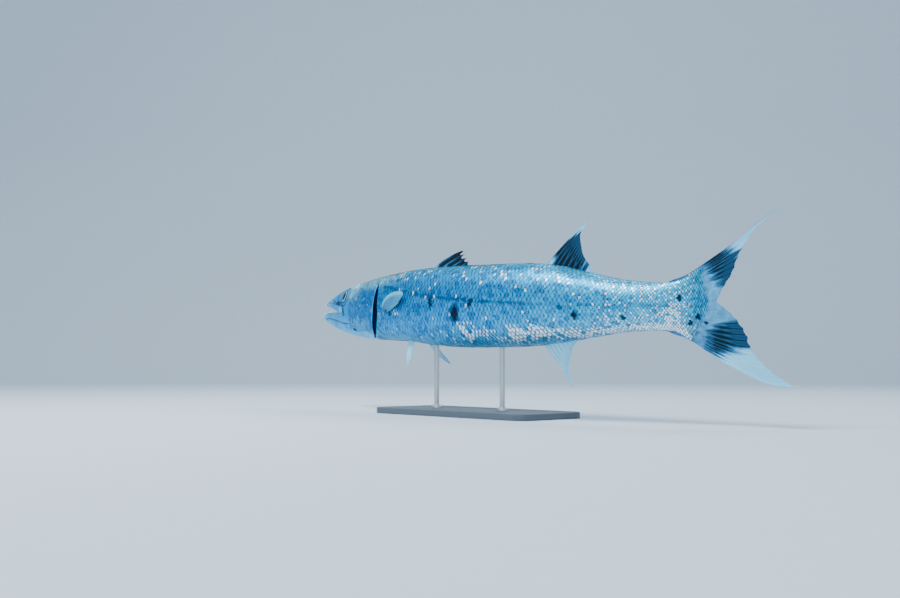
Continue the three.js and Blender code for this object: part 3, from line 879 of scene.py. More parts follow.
        # the palate, or the floor of the mouth, arches from one side's lip to the other's
        c = np.linspace(-1, 1, self.sheet_columns + 1)[1:-1]
        room = np.abs(self.shape.top(x) - lip if upper else self.shape.bottom(x) + lip)
        vault = np.minimum(self.palate, 0.3 * room) * size
        middle = mix(lining_a[:, -1:], lining_b[:, :1], ((c + 1) / 2)[:, None])
        middle[..., 2] += sign * vault[:, None] * (1 - np.abs(c) ** 2.4) ** 0.8
        return {
            "skin": np.concatenate([before, outside, after], axis=1),
            "groove": np.concatenate([0 * before[..., 0], groove * eased, 0 * after[..., 0]], axis=1),
            "lining": np.concatenate([before[:, :1], lining_a, middle, lining_b, after[:, -1:]], axis=1),
        }

    def build(self) -> Object:
        """Make the skin's mesh.

        Returns:
            The skin.
        """
        data = MeshData()
        seam = self.seam_angles()
        fronts = {upper: self.jaw_front(upper) for upper in (True, False)}
        halves = {}
        for upper, columns in ((True, self.upper_columns), (False, self.lower_columns)):
            rear = self.rear_grid(seam, columns, upper)
            x, angle = rear["x"], rear["angle"]
            relief, groove = self.relief(x, angle)
            on_head = fade(x, *self.relief_end)
            height = rear["height"] + relief * on_head - mix(0.4, self.coat, smooth_step(x, 190, 240))
            points = self.shape.skin(x, angle, height)
            points[-len(self.closing) :, :, 1] *= np.array(self.closing_widths)[:, None]
            halves[upper] = (points, groove * on_head, rear["inside"])
        corners = [
            (fronts[True]["skin"][-1, at].copy(), fronts[False]["skin"][-1, -1 - at].copy()) for at in (0, -1)
        ]
        for upper in (True, False):
            points, groove, inside = halves[upper]
            lip = fronts[upper]["skin"]
            lining = fronts[upper]["lining"]
            edges = [self.seam_edge(points[:, at], halves[not upper][0][:, -1 - at]) for at in (0, -1)]
            whole = np.concatenate([edges[0][:, ::-1], points, edges[1]], axis=1)
            # painted shade in the crease behind the mouth's corner, deepest next to the seam
            crease = 0.8 * fade(np.arange(len(points)), 2, 14)[:, None] * np.array([0.3, 0.7, 1])
            groove = np.concatenate([crease[:, ::-1], groove, crease], axis=1)
            inside = np.pad(inside, ((0, 0), (3, 3)), mode="edge")
            whole[0] = lip[-1]
            for at in (0, -1):
                whole[0, at] = np.mean(corners[at if upper else -1 - at], axis=0)
                lining[-1, at] = whole[0, at]
            outside = np.concatenate([lip[:-1], whole])
            groove = np.concatenate([fronts[upper]["groove"][:-1], groove])
            inside = np.concatenate([np.zeros(lip[:-1].shape[:2]), inside])
            data.add_grid(outside, **self.masks(outside, groove, inside))
            for sheet in (lining, self.throat(lining[-1])):
                data.add_grid(sheet, flip=True, **self.masks(sheet, 0, 0, mouth=1.0))
        piece = data.build("skin", self.shape, merge=0.004)
        return smooth_shaded(piece, 180)

    @staticmethod
    def seam_edge(own: Array, other: Array) -> Array:
        """Columns that round the skin's half over to the crease behind the mouth's corner.

        Args:
            own: The half's own edge.
            other: The other half's edge that it meets.

        Returns:
            Points by row and column, the last on the seam.
        """
        depth = 1.5 * fade(np.arange(len(own)), 0, 14)[:, None] + 0.02
        inward = np.sign(own[:, 1:2]) * depth * np.array([0, 1, 0])
        shares = np.array([0.3, 0.65, 1])[:, None, None]
        bulge = np.array([0.55, 0.4, 0])[:, None, None] * inward
        return np.moveaxis(mix(own, (own + other) / 2 - inward, shares) + bulge, 0, 1)

    def throat(self, opening: Array) -> Array:
        """The pocket behind the mouth's corner, from its opening to its closed end.

        Args:
            opening: The lining's points at the mouth's corner.

        Returns:
            Points by row and column.
        """
        depth = np.linspace(0, 1, self.throat_rows)[:, None]
        seam = (opening[0] + opening[-1]) / 2
        points = np.repeat(opening[None], self.throat_rows, axis=0)
        level = np.linspace(opening[0, 1], opening[-1, 1], opening.shape[0])
        points[..., 0] += self.throat_depth * depth
        points[..., 1] = mix(points[..., 1], level, depth**2) * (1 - 0.3 * depth)
        points[..., 2] = mix(seam[2] - 4 * depth, points[..., 2] - 4 * depth, 1 - depth**2)
        return points

    def masks(self, points: Array, groove: Number, inside: Number, mouth: float = 0.0) -> dict[str, Array]:
        """Values that the skin's paint reads.

        Args:
            points: Points of the straight body.
            groove: How much painted shade each place gets as a groove.
            inside: How much of each place is inside the gill opening, which gets painted shade.
            mouth: 1 for the mouth's lining.

        Returns:
            A number for each point, by name.
        """
        x, y, z = np.moveaxis(points, -1, 0)
        half = np.where(z > 0, self.shape.top(x), self.shape.bottom(x))
        return {
            "height": np.clip(z / half, -1, 1),
            "station": x * MM,
            "dark": self.markings.dark(x, y, z),
            "groove": np.broadcast_to(groove, x.shape),
            # painted shade in the gill opening's hollow
            "gill": np.broadcast_to(inside, x.shape),
            "mouth": np.full(x.shape, mouth),
            "pale": self.markings.pale(x, z, np.arctan2(z / half, np.abs(y) / self.shape.width(x))),
        }


@dataclass
class Scales:
    """The coat: rows of overlapping scales from the gill opening to the tail's root."""

    skin: Skin
    side: Side
    rows: int = 27
    seed: int = 7
    first_station: float = 200
    last_station: float = 1110
    length_share: float = 1.75
    width_share: float = 1.45
    tilt: float = 0.42
    sunk: float = 0.25
    head_pitch: float = 4.6
    head_tilt: float = 0.3
    # shares of a scale's length at which its rows of points lie
    along: tuple = (0, 0.45, 0.8, 1)

    def pitch(self, x: Array) -> Array:
        """Spacing of the scales along the body, in millimetres."""
        grown = mix(7, 9, smooth_step(x, 230, 360))
        return grown - 3.6 * smooth_step(x, 820, 1050) - 1.2 * smooth_step(x, 1050, 1095)

    def surface(self, x: Array, angle: Array, height: Number = 0) -> Array:
        """Points over the body, and past its end over the root of the tail fin.

        Args:
            x: Stations along the body.
            angle: Angles above the side.
            height: Heights over the body.

        Returns:
            Points of the straight body's right side.
        """
        points = self.skin.shape.skin(x, angle, height)
        x, angle = np.broadcast_arrays(x, angle)
        up = signed_power(np.sin(angle), self.skin.shape.squareness)
        above = np.interp(x, (1030, 1059, 1100), (42, 51, 74))
        below = np.interp(x, (1030, 1066, 1116), (45, 57, 86))
        fin = 2.2 - 0.02 * (x - 1058) + height
        on_fin = smooth_step(x, 1036, 1064)
        level = mix(points[..., 2], up * np.where(up > 0, above, below), on_fin)
        out = np.maximum(points[..., 1] * fade(x, 1066, 1082), np.where(on_fin > 0, fin, 0))
        return np.stack([x + 0 * level, out, level], axis=-1)

    def row_angles(self) -> list[SmoothLine]:
        """Angle of each row along the body.

        Returns:
            A line for each row.
        """
        stations = np.linspace(self.first_station, self.last_station, 61)
        angles = np.linspace(-90, 90, 181) * DEGREE
        ring = self.surface(stations[:, None], angles)
        arc = np.cumsum(np.linalg.norm(np.diff(ring, axis=1), axis=2), axis=1)
        arc = np.concatenate([np.zeros((len(stations), 1)), arc], axis=1)
        shares = (np.arange(self.rows) + 0.5) / self.rows
        places = [[np.interp(share * own[-1], own, angles) for own in arc] for share in shares]
        return [SmoothLine(stations, place) for place in places]

    def over_skin(self, x: Array, angle: Array) -> Array:
        """Height of the skin under the scales over the plain body.

        Args:
            x: Stations along the body.
            angle: Angles above the side.

        Returns:
            Heights in millimetres, below 0 in the hollow behind the gill cover.
        """
        gill = self.skin.gill
        window = gill.window(angle)
        relief, _ = self.skin.relief(x, angle)
        cover = gill.stand_off(x, angle) * window + relief * fade(x, *self.skin.relief_end)
        on_cover = x < gill.edge(gill.rear, gill.share(angle))
        return np.where(on_cover, cover, -gill.hollow(x, angle)[0] * window)

    @staticmethod
    def gathered(found: list[Array], small: float) -> dict[str, Array]:
        """Roots of scales from rows of their stations, angles, lengths and widths."""
        x, angle, length, width = np.concatenate(found, axis=1)
        return {"x": x, "angle": angle, "length": length, "width": width, "small": 0 * x + small}

    def places(self) -> dict[str, Array]:
        """Roots of all the scales on the trunk.

        Returns:
            Station, angle, length, width and smallness of each scale.
        """
        fine = np.linspace(self.first_station, self.last_station, 1800)
        count = np.cumsum(1 / self.pitch(fine)) * (fine[1] - fine[0])
        gill = self.skin.gill
        found = []
        for row, line in enumerate(self.row_angles()):
            x = np.interp(np.arange(0.5 * (row % 2), count[-1], 1), count, fine)
            angle = line(x)
            behind = np.where(angle > gill.top - 2 * DEGREE, x > 214, x > gill.end(gill.share(angle)))
            behind &= (angle > gill.bottom + 4 * DEGREE) | (x > 262)
            # the coat ends on the root of the tail fin, each row at its own station
            level = self.surface(x, angle)[:, 2]
            last = np.where(level < 0, 1094 + 0.55 * level, 1094 - 0.2 * level) + 3 * math.sin(2.1 * row)
            keep = behind & (x < last) & ((np.abs(angle) < 80 * DEGREE) | (x < 1030))
            x, angle = x[keep], angle[keep]
            ring = self.surface(x[:, None], np.linspace(-90, 90, 61) * DEGREE)
            half = np.linalg.norm(np.diff(ring, axis=1), axis=2).sum(axis=1)
            found.append(np.stack([x, angle, self.pitch(x), half / self.rows]))
        return self.gathered(found, 0)

    def plate_faces(self, columns: int) -> tuple[Array, Array]:
        """Faces of one scale: the quads of its top and the triangles that close it round its root.

        Args:
            columns: Spaces across the scale.

        Returns:
            Corner indices of the quads and of the triangles.
        """
        shape = (len(self.along), columns + 1)
        root = math.prod(shape)
        index = np.arange(root).reshape(shape)
        corners = [index[:-1, :-1], index[1:, :-1], index[1:, 1:], index[:-1, 1:]]
        quads = np.stack([corner.ravel() for corner in corners], axis=1)
        loop = np.concatenate([index[0, :-1], index[:-1, -1], index[-1, :0:-1], index[:0:-1, 0]])
        rim = np.stack([loop, np.roll(loop, -1), np.full(len(loop), root)], axis=1)
        return (quads[:, ::-1], rim[:, ::-1]) if self.side is Side.RIGHT else (quads, rim)

    def scale_mesh(
        self, place: dict, data: MeshData, relief: float, sunk: float, unrest: float, columns: int
    ) -> None:
        """Add scales as closed plates, each a little raised to its round rear edge and a little off true.

        Args:
            place: Roots and sizes of the scales.
            data: Mesh to add to.
            relief: Height of a scale's rear edge over the skin.
            sunk: Depth of its front edge under the skin.
            unrest: How far the scales lie off true, from 0 to 1.
            columns: Spaces across a scale.
        """
        rng = np.random.default_rng(self.seed + self.side.value)
        count = len(place["x"])
        lengths = (place["length"] * self.length_share * rng.uniform(0.96, 1.04, count))[:, None]
        v, u = (part.ravel() for part in np.meshgrid(np.linspace(-1, 1, columns + 1), self.along))
        # narrow at the root, with a round rear edge
        outline = mix(0.45, 1, smooth_step(u, 0, 0.6)) * v
        reach = u * (1 - 0.42 * np.abs(v) ** 2.2)
        rise = u**1.2 * (1 - 0.35 * v**2)
        centre = place["x"][:, None] - lengths * 0.5
        x = centre + lengths * (reach + rng.normal(0, 0.012, (count, 1)))
        step = 0.02
        ahead, behind = (self.surface(place["x"], place["angle"] + turn) for turn in (step, -step))
        radius = np.linalg.norm(ahead - behind, axis=1) / (2 * step)
        spread = 0.5 * place["width"] * self.width_share / radius
        angle = place["angle"][:, None] + outline * spread[:, None]
        lean = rng.normal(0, 0.16, (count, 1)) * v + rng.normal(0, 0.09, (count, 1)) * rise
        lift = mix(-sunk, relief, rise) + (lean + rng.normal(0, 0.04, (count, 1))) * unrest
        top = self.surface(x, angle, self.over_skin(x, angle) - self.skin.coat + lift)
        # one point under the plate closes it
        root_x = (centre + lengths * 0.42)[:, 0]
        depth = self.over_skin(root_x, place["angle"]) - self.skin.coat - 0.5
        root = self.surface(root_x, place["angle"], depth)
        points = np.concatenate([top, root[:, None]], axis=1)
        points[..., 1] *= self.side.value
        offset = (np.arange(count) * points.shape[1])[:, None, None]
        faces = [(part[None] + offset).reshape(-1, part.shape[1]) for part in self.plate_faces(columns)]
        data.add(points, faces, **self.values(place, points, np.append(u, 0)))
        patch = np.concatenate([np.stack([reach, outline / 2 + 0.5], axis=1), [[0.4, 0.5]]])
        home = np.stack([place["x"] / 1300, 0.5 + place["angle"] / (200 * DEGREE)], axis=1)
        data.values.setdefault("unwrap", []).append((home[:, None] + 0.003 * patch).reshape(-1, 2))

    def values(self, place: dict[str, Array], points: Array, u: Array) -> dict[str, Array]:
        """Values that the scales' paint reads.

        Args:
            place: Roots and sizes of the scales.
            points: Points of the straight body, by scale.
            u: Share of the way to its rear edge of each point of a scale.

        Returns:
            A number for each point, by name.
        """
        rng = np.random.default_rng(self.seed + 40 + self.side.value)
        marks = self.skin.markings
        count = len(place["x"])
        bright = marks.bright(place["x"], place["angle"])
        crowded = smooth_step(bright, 0.35, 0.9)
        # painted glints: some scales get near-white streaks, most of all where they crowd
        shines = bright > rng.uniform(0, 1, count)
        glint = np.where(shines, rng.uniform(0.6, 1, count) + 0.45 * crowded, 0)
        x, y, z = np.moveaxis(points, -1, 0)
        half = np.where(z > 0, self.skin.shape.top(x), self.skin.shape.bottom(x))
        stops = len(self.along)
        across = np.append(np.tile(np.linspace(-1, 1, (len(u) - 1) // stops), stops), 0)
        tick = mix(0.5, 1, bell(u, 0.8, 0.18))
        own_dark = marks.dark(*np.moveaxis(points[:, :-1].mean(axis=1), -1, 0))
        # painted shade: the scales among the glints that do not glint are darkened
        shadow = 0.6 * crowded * (glint == 0) * rng.uniform(0.3, 1, count)
        blotch = mix(marks.dark(x, y, z), own_dark[:, None], 0.55)
        each = {"tone": rng.uniform(0, 1, count), "glint": glint * (1 - own_dark), "small": place["small"]}
        spread = {name: np.broadcast_to(value[:, None], x.shape) for name, value in each.items()}
        return spread | {
            "height": np.clip(z / half, -1, 1),
            "station": x * MM,
            "dark": np.maximum.reduce([blotch, 0.2 * smooth_step(x, 1054, 1076), shadow[:, None] + 0 * x]),
            "pale": marks.pale(x, z, np.broadcast_to(place["angle"][:, None], x.shape)),
            "line": bell(z, marks.line(x), 3.4) * tick * marks.line_strength(x),
            "edge": np.broadcast_to(u[None], x.shape),
            "across": np.broadcast_to(across[None], x.shape),
        }

    def head_places(self) -> dict[str, Array]:
        """Roots of the small scales on the cheek and the gill cover.

        Returns:
            Station, angle, length, width and smallness of each scale.
        """
        gill = self.skin.gill
        found = []
        for row, angle in enumerate(np.arange(-56, 47, 3.4) * DEGREE):
            share = gill.share(angle)
            first, last = 186 + 0.5 * self.head_pitch * (row % 2), gill.edge(gill.rear, share) - 5
            x = np.arange(first, last, self.head_pitch)
            points = self.skin.shape.skin(x, angle)
            across, _ = self.skin.near_eye(points)
            off_seam = np.abs(x - gill.edge(gill.front, share) + 1.5) > 4
            keep = (across > self.skin.eye_radius + 11) & off_seam & (points[:, 2] > -52) & (x > 186)
            x = x[keep]
            found.append(np.stack([x, 0 * x + angle, 0 * x + 4.4, 0 * x + 3.9]))
        return self.gathered(found, 1)

    def build(self) -> Object:
        """Make one side's coat.

        Returns:
            The coat.
        """
        data = MeshData()
        self.scale_mesh(self.places(), data, self.tilt, self.sunk, unrest=1, columns=6)
        self.scale_mesh(self.head_places(), data, self.head_tilt, 0, unrest=0.3, columns=4)
        unwrap = np.concatenate(data.values.pop("unwrap"))
        piece = data.build(f"coat_{self.side.name.lower()}", self.skin.shape)
        layer = piece.data.uv_layers.new(name="OFBake")
        corners = np.zeros(len(piece.data.loops), np.int32)
        piece.data.loops.foreach_get("vertex_index", corners)
        layer.data.foreach_set("uv", unwrap[corners].astype(np.float32).ravel())
        return smooth_shaded(piece, 50)


def spline(points: Array, share: Array) -> Array:
    """Points evenly along a smooth curve through a few given ones.

    Args:
        points: Points to pass through.
        share: Shares of the curve's length.

    Returns:
        Points of the curve.
    """
    given = np.asarray(points, float)
    padded = np.concatenate([given[:1], given, given[-1:]])
    place = np.linspace(0, len(given) - 1, 600)
    index = np.minimum(place.astype(int), len(given) - 2)
    t = (place - index)[:, None]
    a, b, c, d = (padded[index + step] for step in range(4))
    curve = hermite(b, c, (c - a) / 2, (d - b) / 2, t)
    run = np.append(0, np.cumsum(np.linalg.norm(np.diff(curve, axis=0), axis=1)))
    at = np.asarray(share, float) * run[-1]
    return np.stack([np.interp(at, run, curve[:, axis]) for axis in range(2)], axis=-1)


@dataclass
class Fin:
    """A fin: a web of skin between branched rays, from its root to its ragged margin."""

    name: str
    node: str
    base: tuple
    front: tuple
    margin: tuple
    rays: int
    ray: tuple
    notch: float
    pattern: Pattern
    fray: float = 0.02
    nicks: float = 2.5
    branches: float = 1.0
    root: tuple | None = None
    along: tuple = ()
    across: tuple = ()
    side: Side = Side.RIGHT
    rows: int = 34
    columns: int = 10
    web: tuple = (1.0, 0.5)
    thinnest: float = 0.35
    spots: tuple = ((1077, -18, 4.5), (1092, -28, 3))
    seed: int = 3

    def outline(self, u: Array, v: Array) -> Array:
        """Points of the fin's middle surface in its own plane.

        Args:
            u: Shares of the way from the front ray to the rear one.
            v: Shares of the way from the root to the margin.

        Returns:
            Points in a last axis of two.
        """
        steps = np.linspace(0, 1, 241)
        base, front, margin = (spline(curve, steps) for curve in (self.base, self.front, self.margin))

        def read(curve: Array, share: Array) -> Array:
            """Points of a curve at shares of its length."""
            return np.stack([np.interp(share, steps, curve[:, axis]) for axis in range(2)], axis=-1)

        straight = mix(read(base, u), read(margin, u), v[..., None])
        chord = mix(base[0], margin[0], v[..., None])
        return straight + (read(front, v) - chord) * ((1 - u) ** 2)[..., None]

    def place(self, points: Array, offset: Array) -> Array:
        """Carry points of the fin's own plane to the straight body.

        Args:
            points: Points in the fin's plane.
            offset: Distances off that plane.

        Returns:
            Points of the straight body.
        """
        if self.root is None:
            return np.stack([points[..., 0], offset, points[..., 1]], axis=-1)
        length = unit(np.array(self.along, float))
        normal = np.cross(length, self.across)
        normal /= np.linalg.norm(normal)
        width = np.cross(normal, length)
        cupped = 0.0012 * points[..., 0] ** 2
        placed = np.array(self.root) + points[..., :1] * length + points[..., 1:2] * width
        placed = placed + (offset + cupped)[..., None] * normal
        return placed * (1, self.side.value, 1)

    def ink(self, flat: Array, chord: Array, span: Array) -> Array:
        """How dark the fin is at each of its points.

        Args:
            flat: Points in the fin's plane.
            chord: Shares of the way from the front ray to the rear one.
            span: Shares of the way from the root to the margin.

        Returns:
            Strengths from 0 to 1.
        """
        x, z = flat[..., 0], flat[..., 1]
        # the rays carry the edges of the dark areas out unevenly
        comb = 4 * np.sin(2 * math.pi * chord * (self.rays - 1)) + 3 * np.sin(47 * chord)
        if self.pattern is Pattern.TAIL:
            upper = z > 0
            low = np.clip((51 + z) / 33, 0, 1)
            start = np.where(upper, 1078 + 0.8 * (57 - z), 1068 + 62 * low**2.2)
            reach = np.where(upper, 40, 46)
            tip = np.where(upper, 3 * (x - 1134) + 16 * (z - 96), 4.2 * (x - 1124) - 15.7 * (z + 82)) / 16.3
            band = smooth_step((x - start + comb) / reach, -0.3, 1.05) * fade(tip + 1.3 * comb, -17, 7)
            fork = 0.4 * smooth_step(x, 1062, 1090) * fade(np.abs(z), 22, 40)
            fork = np.maximum(fork, 0.43 * fade(x, 1092, 1124))
            spots = [fade(np.hypot(x - at, z - up) / size, 0.8, 1.2) for at, up, size in self.spots]
            return np.clip(np.maximum.reduce([band * (0.82 + 0.18 * span), fork, *spots]), 0, 1)
        if self.pattern is Pattern.SAIL:
            tip = smooth_step(z - 0.37 * (x - 818) - 122 + 0.6 * comb, -3, 4)
            front = fade(chord, 0.04, 0.2) * fade(span, 0.12, 0.38)
            rear = smooth_step(chord + 0.01 * comb, 0.66, 0.84) * fade(z, 80, 100)
            foot = fade(span, 0.04, 0.1) * smooth_step(chord, 0.15, 0.3)
            return np.clip(np.maximum(1 - np.maximum.reduce([tip, front, 0.85 * rear]), 0.9 * foot), 0, 1)
        if self.pattern is Pattern.DUSKY:
            streak = 0.5 * bell((chord * 4) % 1, 0.12, math.sqrt(0.02)) * fade(span, 0.5, 0.9)
            foot = 0.6 * fade(span, 0.05, 0.3) * (chord < 0.35)
            return np.clip(1 - streak - foot, 0, 1)
        if self.pattern is Pattern.PECTORAL:
            spot = 1.3 * fade(np.hypot((x - 12) / 6, (z + 3) / 4.5), 0.6, 1.2)
            shade = 0.5 * smooth_step(chord, 0.03, 0.14) + 0.25 * smooth_step(chord, 0.6, 1)
            return np.clip(np.maximum(shade, spot), 0, 1)
        return 0.15 * smooth_step(span, 0.4, 1) * (0.5 + 0.12 * comb)

    def build(self, shape: BodyShape) -> Object:
        """Make the fin as a closed shell.

        Args:
            shape: Body whose curve the fin follows.

        Returns:
            The fin.
        """
        rng = np.random.default_rng(self.seed)
        full = (self.rows + 1, self.columns * (self.rays - 1) + 1)
        u = np.linspace(0, 1, full[1])[None]
        v = np.linspace(0, 1, full[0])[:, None]
        place = u * (self.rays - 1)
        # each ray splits in two, and then in two again, on its way to the margin
        to_ray = np.abs(place - np.round(place))
        split = self.branches * 0.25 * smooth_step(v, 0.25, 0.6)
        fine = self.branches * 0.12 * smooth_step(v, 0.6, 0.85)
        branch = np.minimum(np.abs(to_ray - split * (place > 0.5)), np.abs(to_ray - split - fine))
        branch = np.minimum(branch, np.abs(to_ray - np.maximum(split - fine, 0)))
        ridge = bell(np.minimum(branch, 1), 0, mix(0.13, 0.06, smooth_step(v, 0, 0.7)))
        web = mix(self.web[0], self.web[1], v)
        thick = np.maximum(mix(self.ray[0], self.ray[1], v**0.7), web)
        thickness = mix(web, thick, ridge) - smooth_step(v, 0.985, 1) * 0.7 * web
        thickness = thickness + bell(place, 0, 0.35) * 0.35 * thick * (1 - v)
        # the margin frays between the rays, and is notched
        fray = rng.uniform(0.3, 1, full[1])[None] * self.fray * (1 - ridge)
        nicks = np.abs(np.sin(place * self.nicks * math.pi + self.nicks - 1)) * smooth_step(u, 0.05, 0.2)
        torn = (fray + 0.5 * self.notch * nicks) * smooth_step(v, 0.6, 1)
        u, v = np.broadcast_to(u, full), np.broadcast_to(v, full)
        flat = self.outline(u, v * (1 - torn))
        wave = 0.5 * np.sin(place * 2.1) * smooth_step(v, 0.3, 1)
        values = {"ray": np.broadcast_to(ridge, full), "span": v, "dark": self.ink(flat, u, v)}
        data = MeshData()
        half = np.maximum(thickness, self.thinnest) / 2
        sheets = {way: self.place(flat, wave + way * half) for way in (1, -1)}
        for way, sheet in sheets.items():
            data.add_grid(sheet, flip=way < 0, **values)
        for rim in ((slice(None), 0), (slice(None), -1), (0, slice(None)), (-1, slice(None))):
            strip = np.stack([sheets[1][rim], sheets[-1][rim]], axis=1)
            edge = {key: np.repeat(value[rim][:, None], 2, 1) for key, value in values.items()}
            data.add_grid(strip, **edge)
        piece = data.build(self.name, shape, merge=0.003)
        return smooth_shaded(piece, 60)


@dataclass
class Eye:
    """An eyeball in its socket, with the ring of skin round it."""

    skin: Skin
    side: Side
    dome: float = 3.4
    back: float = 9
    sunk: float = 0.8
    rings: int = 22
    segments: int = 56
    lid_columns: int = 40
    # distances of the ring's section past the eyeball, and its heights
    lid: tuple = (
        (-1.2, -3.0), (-1.4, -0.5), (-1.1, 0.2), (-0.3, 0.55), (0.9, 0.5),
        (2.2, 0.05), (3.4, -0.6), (3.8, -1.6), (2, -3.4), (-1.2, -3.0),
    )

    def revolved(self, name: str, profile: Array, tall: float) -> Object:
        """Make a round piece about the eye's axis.

        Args:
            name: Name of the piece.
            profile: Radii and heights from the middle outwards and round to the back.
            tall: Height of the piece over its length.

        Returns:
            The piece.
        """
        skin, shape = self.skin, self.skin.shape
        centre = shape.side_point(skin.eye_x, skin.eye_z, self.side)
        axes = look_axes(shape.outward(skin.eye_x, skin.eye_z, self.side))
        turn = np.linspace(0, 2 * math.pi, self.segments + 1)
        radius = profile[:, :1]
        # the pupil and the iris are a little longer than they are high
        share = radius / skin.eye_radius * np.hypot(1.14 * np.cos(turn), 0.88 * np.sin(turn))
        rim = bell(radius, skin.eye_radius + 1.6, 1.7) * np.ones_like(turn)
        data = MeshData()
        data.add_grid(
            centre + turned(profile, turn, 1, tall) @ axes.T,
            radial=share, groove=rim, height=0.45 + 0.15 * np.sin(turn), station=skin.eye_x * MM,
        )
        piece = data.build(name, shape, merge=0.01)
        return smooth_shaded(piece, 80)

    def build(self) -> list[Object]:
        """Make the eyeball and the ring.

        Returns:
            The two pieces.
        """
        name = self.side.name.lower()
        radius = self.skin.eye_radius
        angle = np.linspace(90, -60, self.rings) * DEGREE
        over = np.where(angle > 0, self.dome, self.back) * np.sin(angle) - self.sunk
        ball = np.stack([radius * np.cos(angle), over], axis=1)
        ball = np.concatenate([ball, [[0, over[-1]]]])
        section = spline_closed(np.array(self.lid) + (radius, 0), self.lid_columns)
        return [self.revolved(f"eyeball_{name}", ball, 1), self.revolved(f"eye_ring_{name}", section, 1.02)]


def spline_closed(points: Array, count: int) -> Array:
    """Points along a smooth closed curve.

    Args:
        points: Points to pass near, the last the same as the first.
        count: Number of points wanted.

    Returns:
        Points of the curve, the last the same as the first.
    """
    ring = points[:-1]
    place = np.linspace(0, len(ring), count + 1)
    index = np.floor(place).astype(int)
    t = (place - index)[:, None]
    a, b, c, d = (ring[(index + step) % len(ring)] for step in (-1, 0, 1, 2))
    return hermite(b, c, (c - a) / 2, (d - b) / 2, t)


